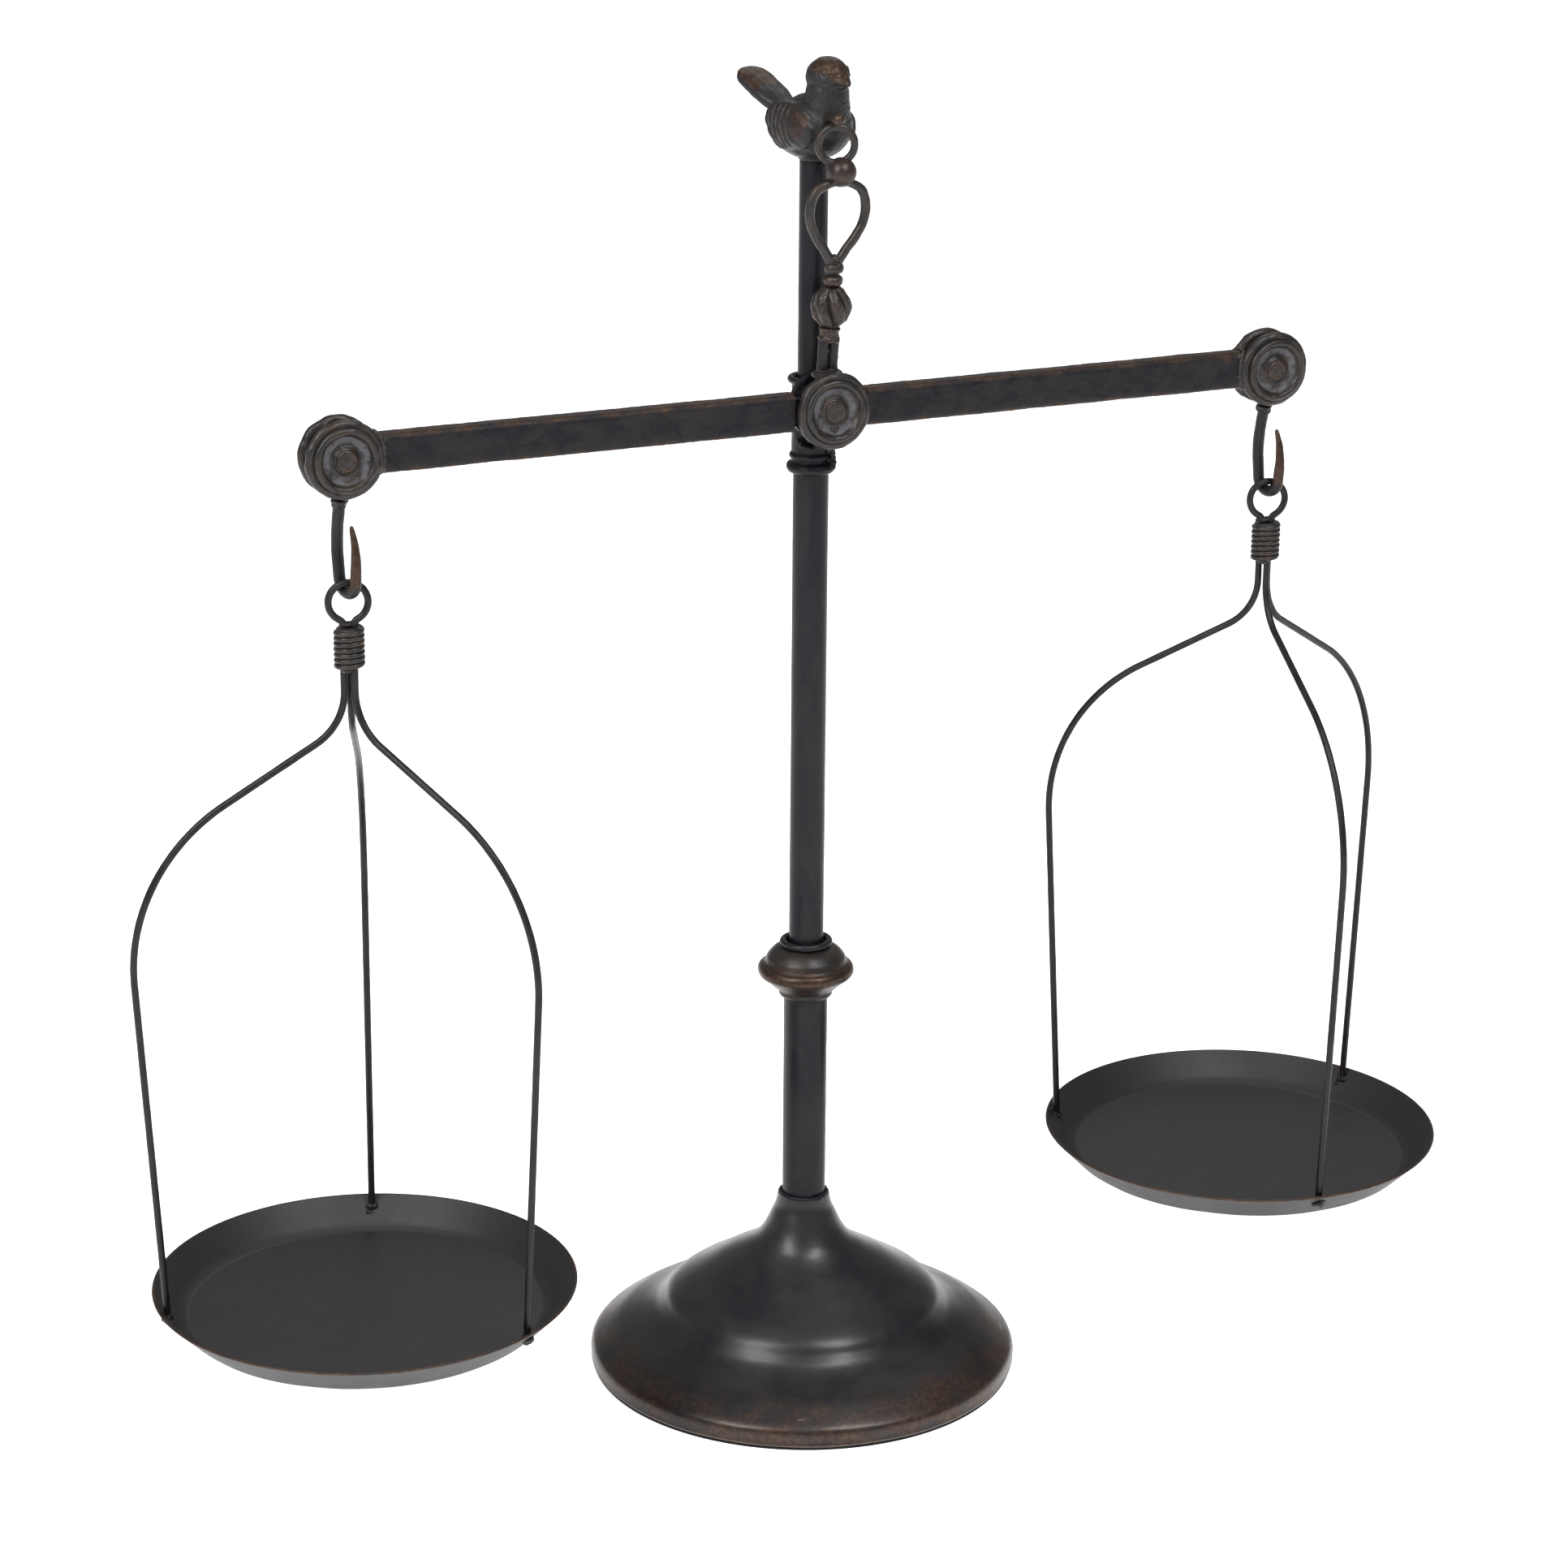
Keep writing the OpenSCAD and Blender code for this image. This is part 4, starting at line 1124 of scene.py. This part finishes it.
def hanger_pieces():
    """The ornamental hanger above the central hub."""
    foot = np.array([0, -14.5, middle("front_cheek")[2] + 15.3])
    tilt = about(Y, 1.5) @ about(X, 4.2)

    def hang(name, shape, node, brown, finish="cast", patches=None):
        """Tilts a part of the hanger, stands it on the hub and puts it there. `patches` are the
        strength, size and seed of a ripple in the brown."""
        shape = place(shape, tilt, foot)
        if patches:
            brown = brown + patches[0] * ripple(shape[0], *patches[1:])
        put(name, shape, "stand", finish, [node], brown)

    shape = join(
        blob(middle("hanger_bridge") + np.array([0, 0, -0.6]), (6.4, 5.2, 2.0), 151, 0.35, 3.6,
             0.72),
        blob(foot + np.array([-LEG_APART, 0, 0.5]), (2.6, 2.6, 1.1), 152, 0.25, 2.8),
        blob(foot + np.array([LEG_APART, 0, 0.4]), (2.6, 2.6, 1.1), 153, 0.25, 2.8))
    put("hanger_bridge_weld", shape, "stand", "cast", ["hanger_bridge"])

    legs = []
    for side in (-1, 1):
        path = np.stack([side * LEG_APART + np.zeros(24), np.zeros(24),
                         np.linspace(1.0, 13.4, 24)], 1)
        size = 2.25 - 0.12 * np.abs(np.sin(np.linspace(0, np.pi, 24)))
        legs.append(roughen(sweep(path, (1, 0, 0), size, 24), 0.08, 3.5, 154 + side))
    hang("hanger_leg_pair", join(*legs), "hanger_legs", 0.12, "wire")

    outline = [[0, -0.4], [4.0, -0.4], [4.75, 0.4], [4.6, 1.5], [4.0, 2.0], [4.0, 4.0],
               [4.6, 4.6], [4.1, 5.4], [0, 5.4]]
    cuff = turned(outline, 0.45, 0.5, (0, 0, 13.5), UPRIGHT, 56,
                  lambda t, h: 1 + 0.05 * np.sin(2 * t + 0.7) + 0.03 * np.sin(5 * t), False)
    cuff[0][:, 2] -= 0.7 * smooth(cuff[0][:, 0] * 0.6 - cuff[0][:, 1], 1.0, 4.5) * (
        cuff[0][:, 2] < 15.6)
    hang("hanger_cuff", roughen(cuff, 0.16, 2.6, 156), "hanger_ferrule", 0.28)

    lobes = sizes().lobes
    outline = np.concatenate([[[0, -8.6], [3.0, -8.6]],
                              curve([[3.9, -8.2], [6.9, -5.4], [8.5, -0.6], [7.8, 3.6],
                                     [5.4, 7.0], [3.6, 8.4]], 10), [[0, 8.5]]])

    def lobe(t, h):
        """Factor on the radius: 1 on a lobe's crest, less in the grooves between lobes, which
        twist with the height and fade towards both ends."""
        groove = 1 - np.abs(np.sin(lobes / 2 * (t + h * 0.05)))
        return 1 - 0.3 * groove ** 1.6 * np.clip(1.15 - (h / 9.2) ** 4, 0, 1)

    melon = revolve(finer(outline, 0.4), (0, 0, 27.5), UPRIGHT, 176, lobe)
    hang("hanger_melon_knob", roughen(melon, 0.2, 4.2, 157), "hanger_knob", 0.18,
         patches=(0.2, 5.0, 158))

    bulges = [arc([1.8, height], 2.42, -80, 80, 12) for height in (2.6, 7.8)]
    outline = np.concatenate([[[0, 0], [2.2, 0]], *bulges, [[2.2, 10.5], [0, 10.5]]])
    caps = revolve(finer(outline, 0.4), (0, 0, 36), UPRIGHT, 56,
                   lambda t, h: 1 + 0.03 * np.sin(2 * t) + 0.02 * np.sin(7 * t + h))
    hang("hanger_cap_beads", roughen(caps, 0.14, 2.6, 159), "hanger_caps", 0.24)

    half = curve([[1.6, 46.0], [4.6, 51], [9, 57], [12, 63.5], [12.4, 70], [10.2, 76],
                  [5.6, 78.8], [1.6, 80]], 10)
    rods = []
    for side in (-1, 1):
        path = standing(half, side)
        grow = 2.1 * (1 + 0.06 * ripple(path, 14.0, 161 + side)) - 0.1
        rods.append(roughen(sweep(path, (0, 1, 0), grow, 22), 0.07, 4.0, 163 + side))
    crotch = blob((0, 0, 47.6), (3.0, 2.0, 1.8), 165, 0.15, 2.4)
    hang("hanger_pear_loop", join(*rods, crotch), "hanger_loop", 0.04,
         patches=(0.26, 13.0, 166))

    ball = blob((0, -1.2, 84), (6.1, 6.1, 6.1), 167, 0.07, 5.0, fine=48)
    hang("hanger_ball_bead", ball, "hanger_ball", 0.34, "knop", (0.1, 4.0, 168))

    spin = about(Z, TOP_RING_TURN)
    path = standing(circle(TOP_RING_RADIUS, 120)) @ spin.T + [-2.6, 0, 95.1]
    grow = 1.65 * (1 + 0.05 * ripple(path, 9.0, 169)) - 0.06
    ring = roughen(sweep(path, spin[:, 1], grow, 20, True), 0.05, 3.0, 170)
    hang("hanger_top_ring", ring, "hanger_ring", 0.16, patches=(0.2, 8.0, 171))


# ---- the bird


def tail_shape():
    """Paddle tail: a section that is a squared oval with a low roof, carried backwards and up;
    its width follows a quarter circle at the tip."""
    s = np.linspace(0, 1, 90)[:, None]
    t = np.linspace(0, 2 * np.pi, 72, endpoint=False)[None, :]
    length, rounding = 41.6, 8.6
    along = s * length
    tip = np.clip((along - (length - rounding)) / rounding, 0, 1)
    half = (5.0 + 3.5 * smooth(along, 6, 24)) * np.sqrt(np.maximum(1 - tip ** 2, 0))
    thick = (2.8 - 0.5 * s) * (1 - 0.55 * tip ** 3)
    thick = thick * np.sqrt(np.maximum(1 - np.clip((tip - 0.93) / 0.07, 0, 1) ** 2, 0))
    c, d = np.cos(t), np.sin(t)
    y = half * np.sign(c) * np.abs(c) ** 0.62
    z = thick * np.sign(d) * np.abs(d) ** 0.55
    roof = 1.2 * (1 - np.abs(c)) * smooth(d, 0, 0.5) * (1 - tip ** 2)
    points = np.stack([-along + 0 * t, y, z + roof], -1)
    return place(grid(points, False, True), about(Y, 27), (-8, 0, 13.4))


def bird_mass():
    """The bird's plain masses: egg body, neck, head, beak, tail, wings and foot."""
    body = revolve(curve([[0, -15.5], [7, -13.6], [12, -7.5], [13.8, 0], [13, 9], [9.5, 18],
                          [5, 24.5], [0, 27]], 8), (0, 0, 0), UPRIGHT, 72)
    body = place(body, about(Y, -100), (2, 0, 14.5))
    neck_line = curve([[7.0, 0, 18], [7.8, 0, 25], [8.2, 0, 32]], 10)
    neck = sweep(neck_line, (0, 1, 0), np.linspace(10.4, 8.4, len(neck_line)), 48)
    head = blob((8.2, 0, 34.9), (9.7, 8.5, 8.5), 1, 0, 4, 1, UPRIGHT, 40)
    brow = blob((11.2, 0, 36.1), (6.2, 6.6, 5.0), 1, 0, 4, 1, UPRIGHT, 24)
    upper = sweep(curve([[10.6, 0, 35.2], [15.6, 0, 34.9], [19.4, 0, 33.8], [21.6, 0, 32.7]], 8),
                  (0, 1, 0), np.interp(np.linspace(0, 1, 25), [0, 0.5, 1], [5.8, 3.7, 0.8]), 28,
                  False, 0.66)
    lower = sweep(curve([[10.6, 0, 31.9], [15.6, 0, 32.0], [19.0, 0, 31.8]], 8),
                  (0, 1, 0), np.interp(np.linspace(0, 1, 17), [0, 0.6, 1], [5.0, 3.0, 0.9]), 28,
                  False, 0.55)
    wings = [blob((-4.5, side * 8.6, 14.8), (17.0, 5.3, 9.6), 1, 0, 4, 0.95,
                  about(Y, 7) @ about(Z, side * 9), 32) for side in (-1, 1)]
    thighs = [blob((0.5, side * 5.4, 4.9), (7.6, 5.2, 3.2), 1, 0, 4, 1, UPRIGHT, 24)
              for side in (-1, 1)]
    foot = revolve(finer([[0, -7], [4.55, -7], [4.55, 0.02], [6.2, 0.02], [6.5, 1.2], [7.4, 2.6],
                          [9.6, 4.0], [10.4, 5.4], [9.8, 9], [0, 9]], 0.8), (0, 0, 0),
                   UPRIGHT, 64)
    return join(body, neck, head, brow, upper, lower, tail_shape(), *wings, *thighs, foot)


def melted(shape, voxel, rounds):
    """The union of overlapping closed shapes as one skin: voxel remesh, then smoothing."""
    source = bpy.data.objects.new("bird_blank", mesh_of("bird_blank", shape))
    bpy.context.scene.collection.objects.link(source)
    remesh = source.modifiers.new("skin", "REMESH")
    remesh.mode = "VOXEL"
    remesh.voxel_size = voxel * MM
    melt = source.modifiers.new("melt", "SMOOTH")
    melt.factor = 0.5
    melt.iterations = rounds
    bpy.context.view_layer.update()
    done = source.evaluated_get(bpy.context.evaluated_depsgraph_get()).to_mesh()
    points = np.zeros(len(done.vertices) * 3, np.float32)
    done.vertices.foreach_get("co", points)
    sizes_of = np.zeros(len(done.polygons), np.int32)
    done.polygons.foreach_get("loop_total", sizes_of)
    loops = np.zeros(len(done.loops), np.int32)
    done.loops.foreach_get("vertex_index", loops)
    starts = np.concatenate([[0], np.cumsum(sizes_of)[:-1]])
    last = starts + np.minimum(3, sizes_of - 1)
    quads = np.stack([loops[starts], loops[starts + 1], loops[starts + 2], loops[last]], 1)
    bpy.data.objects.remove(source)
    return points.reshape(-1, 3).astype(float) / MM, quads


def feathered(shape, depth):
    """Bird's surface detail as moves along the normal: rows of feathers as saw-tooth rings round
    each shoulder, eyes as a ring round a pupil, the gape as a groove, and the brow as a step."""
    points, quads = shape
    x, y, z = points.T
    up = normals(shape)
    side = np.abs(y)
    wing_x, wing_z = -6.5, 14.5
    ahead, above = x - wing_x, z - wing_z
    wing = smooth(1 - np.hypot(ahead / 18.5, (above - 0.16 * ahead) / 10.2), 0, 0.14)
    wing = wing * smooth(side, 4.5, 8.0)
    shoulder_x, shoulder_z, row_width = 9.5, 20.5, 3.3
    ring = np.hypot(x - shoulder_x, (z - shoulder_z) * 0.82) + 0.5 * ripple(points, 9.0, 201, 2)
    row = (ring / row_width) % 1
    saw = (1 - row) ** 1.6 * smooth(row, 0, 0.14)
    rows = saw * smooth(ring, 9, 12)
    around = np.arctan2(z - shoulder_z, x - shoulder_x)
    scallop = np.abs(np.sin(around * (3.2 + np.floor(ring / row_width) * 1.1)))
    move = wing * (0.42 + depth * 1.5 * rows * (0.62 + 0.38 * scallop))
    neck = smooth(x, 2, 8) * (1 - smooth(z, 27, 30)) * smooth(z, 14, 18)
    move += neck * 0.06 * np.sin(points @ np.array([2.4, 0.4, 2.9]) + 2 * np.sin(y * 0.9))
    eye = np.array([13.4, 6.5, 37.4])
    gap = np.stack([x, side, z], 1) - eye
    away = np.linalg.norm(gap, axis=1)
    move += -0.5 * np.exp(-(away / 3.0) ** 2)
    move += 0.62 * np.exp(-((away - 1.8) / 0.45) ** 2)
    move += 0.75 * np.exp(-(away / 0.95) ** 2)
    line = z - (33.2 - 0.10 * (x - 13) + 0.06 * side)
    gape = smooth(x, 11.8, 13.6) * np.exp(-(line / 0.42) ** 2)
    move += -0.6 * gape
    brow = (z - 38.4 + 0.42 * 0.35 * (x - 10.6)) * smooth(x, 3, 7)
    move += 0.22 * smooth(brow, -0.5, 0.4) * (z > 33.5)
    tail = smooth(-x, 20, 25)
    comb = np.cos(2 * np.pi * y / 3.1) * 0.04 * smooth(up[:, 2], 0.4, 0.8)
    move += tail * comb
    move += 0.12 * ripple(points, 5.0, 203)
    return (points + up * move[:, None], quads), wing, rows


def bird_pieces():
    """The bird as one casting, and the peg in its breast."""
    top = corners("bird")[1][2]
    perch = corners("upper_tube")[1][2]
    skin = melted(bird_mass(), 0.42, 7)
    shape, wing, rows = feathered(skin, sizes().feather_depth / MM)
    x, y, z = shape[0].T
    up = normals(shape)
    spread = ripple(shape[0], 6.0, 205)
    cap = smooth(z + 0.25 * (x - 8.6), 37.1, 39.3) * smooth(x, -2, 4)
    muzzle = smooth(x, 14.0, 17.0) * smooth(z, 32.2, 34.2)
    tail_top = smooth(-x, 24, 31) * smooth(up[:, 2], 0.35, 0.7)
    # Painted highlight: rubbed brown laid on the bulge of each shoulder, where the lamps catch it.
    shoulder = np.exp(-(np.hypot(x - 6, z - 19) / 6.5) ** 2) * smooth(np.abs(y), 4, 8)
    brown = 0.7 * cap + 0.6 * muzzle + 0.8 * tail_top + 0.25 * shoulder + 0.3 * wing
    brown = brown + 0.18 * spread - 0.3 * smooth(x, 10, 15) * (1 - smooth(z, 27, 31))
    dust = 0.5 * wing * smooth(rows, 0.55, 0.95) + 0.12
    standing_bird = place(shape, about(Z, BIRD_TURN), (0, 0, perch))
    above = standing_bird[0][:, 2].max() - top
    if above > 0:
        standing_bird[0][:, 2] -= above * smooth(z, 25, 43)
    put("cast_bird", standing_bird, "stand", "bird", ["bird"], brown, dust, 75)

    low, high = corners("bird_peg")
    mid = (low + high) / 2
    tip = low[1] + 2.6
    stem_z = high[2] - 3.4
    stem = sweep(np.stack([mid[0] + np.zeros(12), np.linspace(high[1], tip, 12),
                           np.linspace(stem_z, stem_z + 0.6, 12)], 1), (1, 0, 0), 1.6, 20)
    knob = blob((mid[0], tip, high[2] - 2.6), (2.7, 2.5, 2.6), 211, 0.1, 2.6)
    fillet = blob((mid[0], mid[1] + 4.2, stem_z + 0.2), (1.9, 2.2, 1.9), 212, 0.1, 2.8)
    peg = join(stem, knob, fillet)
    put("breast_peg", peg, "stand", "knop", ["bird_peg"], 0.4)


# ---- stage, with distances in metres


FLOOR_DROP = 0.02
SKY_STRENGTH = 0.26
LAMP_TARGET = (0, 0, 0.3)
CAMERA_LENS = 95.79
CAMERA_DISTANCE = 1.79625
CAMERA_ROLL = 0.477
CAMERA_TARGET = (-0.00926, 0.00427, 0.27037)


def direction(turn, rise):
    """Unit vector towards a turn from the front and a height angle, in radians."""
    return np.array([math.sin(turn) * math.cos(rise), -math.cos(turn) * math.cos(rise),
                     math.sin(rise)])


def aim(thing, place_at, target, roll=0.0):
    """Turns a lamp or camera so that its -Z axis points at the target."""
    back = np.asarray(place_at, float) - np.asarray(target, float)
    back = back / np.linalg.norm(back)
    right = np.cross([0, 0, 1], back)
    right = right / np.linalg.norm(right)
    up = np.cross(back, right)
    c, s = math.cos(roll), math.sin(roll)
    right, up = right * c + up * s, up * c - right * s
    rows = [[right[k], up[k], back[k], float(place_at[k])] for k in range(3)]
    thing.matrix_world = Matrix(rows + [[0, 0, 0, 1]])


def lamp(name, turn, rise, distance, size, power):
    """A soft oblong lamp at a turn and a height angle in degrees, aimed at the scale's middle."""
    data = bpy.data.lights.new(name, "AREA")
    data.shape = "RECTANGLE"
    data.size, data.size_y = size
    data.energy = power
    away = direction(math.radians(turn), math.radians(rise))
    aim(show(name, data), np.asarray(LAMP_TARGET) + away * distance, LAMP_TARGET)


def stage_pieces():
    """Floor, lamps, sky and camera."""
    scene = bpy.context.scene
    hues = scene.balance_colours
    t = np.linspace(0, 2 * np.pi, 96, endpoint=False)
    rings = np.array([0, 300, 900, 2500, 7000, 20000], float)[:, None]
    points = np.stack([rings * np.cos(t), rings * np.sin(t), 0 * rings * t - FLOOR_DROP], -1)
    mesh = mesh_of("floor", grid(points, False, True))
    if mesh.polygons[0].normal.z < 0:
        mesh.flip_normals()
    mesh.materials.append(floor_finish("pale_floor", colour4(hues.floor)))
    floor = show("floor", mesh)

    world = bpy.data.worlds.new("sky")
    world.use_nodes = True
    sky = world.node_tree.nodes["Background"]
    sky.inputs["Color"].default_value = (1, 1, 1, 1)
    sky.inputs["Strength"].default_value = SKY_STRENGTH
    scene.world = world
    scene.view_settings.view_transform = "Standard"

    sun = bpy.data.lights.new("overhead", "SUN")
    sun.energy = 0.3
    sun.angle = math.radians(60)
    aim(show("overhead", sun), (-0.5, -1.0, 3.0), (0, 0, 0))
    lamp("left_window", -68, 40, 1.7, (0.6, 0.9), 22)
    lamp("right_window", 16, 52, 1.7, (0.5, 0.8), 18)
    lamp("back_window", 150, 45, 2.2, (1.2, 0.8), 6)

    camera = bpy.data.cameras.new("view")
    camera.sensor_width = 36.0
    camera.sensor_fit = "HORIZONTAL"
    camera.lens = CAMERA_LENS
    camera.clip_end = 100
    back = direction(sizes().camera_turn, sizes().camera_rise)
    target = np.array(CAMERA_TARGET)
    scene.camera = show("view", camera)
    aim(scene.camera, target + back * CAMERA_DISTANCE, target, math.radians(CAMERA_ROLL))


# ---- operators


class BalanceOperator(bpy.types.Operator):
    """Shared step of the operators: run the maker and stop with an error if it makes nothing."""

    bl_idname = "balance.step"
    bl_label = "Balance step"
    bl_options = {"REGISTER", "UNDO"}

    make = None

    def execute(self, context):
        before = len(bpy.data.objects)
        self.make()
        if len(bpy.data.objects) <= before:
            raise RuntimeError(self.bl_label + " made nothing")
        return {"FINISHED"}


class BalanceBase(BalanceOperator):
    """Builds the turned base, its neck weld and its felt"""

    bl_idname = "balance.base"
    bl_label = "Base"
    make = staticmethod(base_pieces)


class BalancePost(BalanceOperator):
    """Builds the three tubes of the post"""

    bl_idname = "balance.post"
    bl_label = "Post tubes"
    make = staticmethod(post_pieces)


class BalanceKnop(BalanceOperator):
    """Builds the turned knop and its wire ring"""

    bl_idname = "balance.knop"
    bl_label = "Knop"
    make = staticmethod(knop_pieces)


class BalanceCollar(BalanceOperator):
    """Builds the moulded collar, its wire ring and its welds"""

    bl_idname = "balance.collar"
    bl_label = "Collar"
    make = staticmethod(collar_pieces)


class BalanceCentreHub(BalanceOperator):
    """Builds the central disc and its riveted pivot"""

    bl_idname = "balance.centre_hub"
    bl_label = "Central hub"
    make = staticmethod(centre_hub_pieces)


class BalanceBeam(BalanceOperator):
    """Builds the beam tubes, the end discs, their pins and welds"""

    bl_idname = "balance.beam"
    bl_label = "Beam and end hubs"
    make = staticmethod(end_hub_pieces)


class BalanceHooks(BalanceOperator):
    """Builds the two hooks"""

    bl_idname = "balance.hooks"
    bl_label = "Hooks"
    make = staticmethod(hook_pieces)


class BalanceRings(BalanceOperator):
    """Builds the pan rings and the wound wire"""

    bl_idname = "balance.rings"
    bl_label = "Rings and windings"
    make = staticmethod(ring_and_winding_pieces)


class BalancePans(BalanceOperator):
    """Builds the pans, their arms and weld drops"""

    bl_idname = "balance.pans"
    bl_label = "Pans and arms"
    make = staticmethod(pan_pieces)


class BalanceHanger(BalanceOperator):
    """Builds the ornamental hanger"""

    bl_idname = "balance.hanger"
    bl_label = "Hanger"
    make = staticmethod(hanger_pieces)


class BalanceBird(BalanceOperator):
    """Builds the bird and its peg"""

    bl_idname = "balance.bird"
    bl_label = "Bird"
    make = staticmethod(bird_pieces)


class BalanceStage(BalanceOperator):
    """Builds the floor, the lamps and the camera"""

    bl_idname = "balance.stage"
    bl_label = "Stage"
    make = staticmethod(stage_pieces)


STEPS = (BalanceBase, BalancePost, BalanceKnop, BalanceCollar, BalanceCentreHub, BalanceBeam,
         BalanceHooks, BalanceRings, BalancePans, BalanceHanger, BalanceBird, BalanceStage)


class BalancePanel(bpy.types.Panel):
    """Lists the steps, the sizes and the colours"""

    bl_idname = "VIEW3D_PT_balance"
    bl_label = "Balance scale"
    bl_space_type = "VIEW_3D"
    bl_region_type = "UI"
    bl_category = "Balance"

    def draw(self, context):
        column = self.layout.column()
        for step in STEPS:
            column.operator(step.bl_idname, text=step.bl_label)
        for group in (context.scene.balance_sizes, context.scene.balance_colours):
            for key in group.__annotations__:
                column.prop(group, key)


CLASSES = (BalanceColours, BalanceSizes) + STEPS + (BalancePanel,)


def register():
    """Adds the classes and the two groups of settings."""
    for item in CLASSES:
        bpy.utils.register_class(item)
    bpy.types.Scene.balance_colours = bpy.props.PointerProperty(type=BalanceColours)
    bpy.types.Scene.balance_sizes = bpy.props.PointerProperty(type=BalanceSizes)


def unregister():
    """Takes the settings and the classes away again."""
    del bpy.types.Scene.balance_sizes
    del bpy.types.Scene.balance_colours
    for item in reversed(CLASSES):
        bpy.utils.unregister_class(item)


def main():
    """Builds every piece."""
    register()
    bpy.ops.balance.base()
    bpy.ops.balance.post()
    bpy.ops.balance.knop()
    bpy.ops.balance.collar()
    bpy.ops.balance.centre_hub()
    bpy.ops.balance.beam()
    bpy.ops.balance.hooks()
    bpy.ops.balance.rings()
    bpy.ops.balance.pans()
    bpy.ops.balance.hanger()
    bpy.ops.balance.bird()
    bpy.ops.balance.stage()


if __name__ == "__main__":
    main()
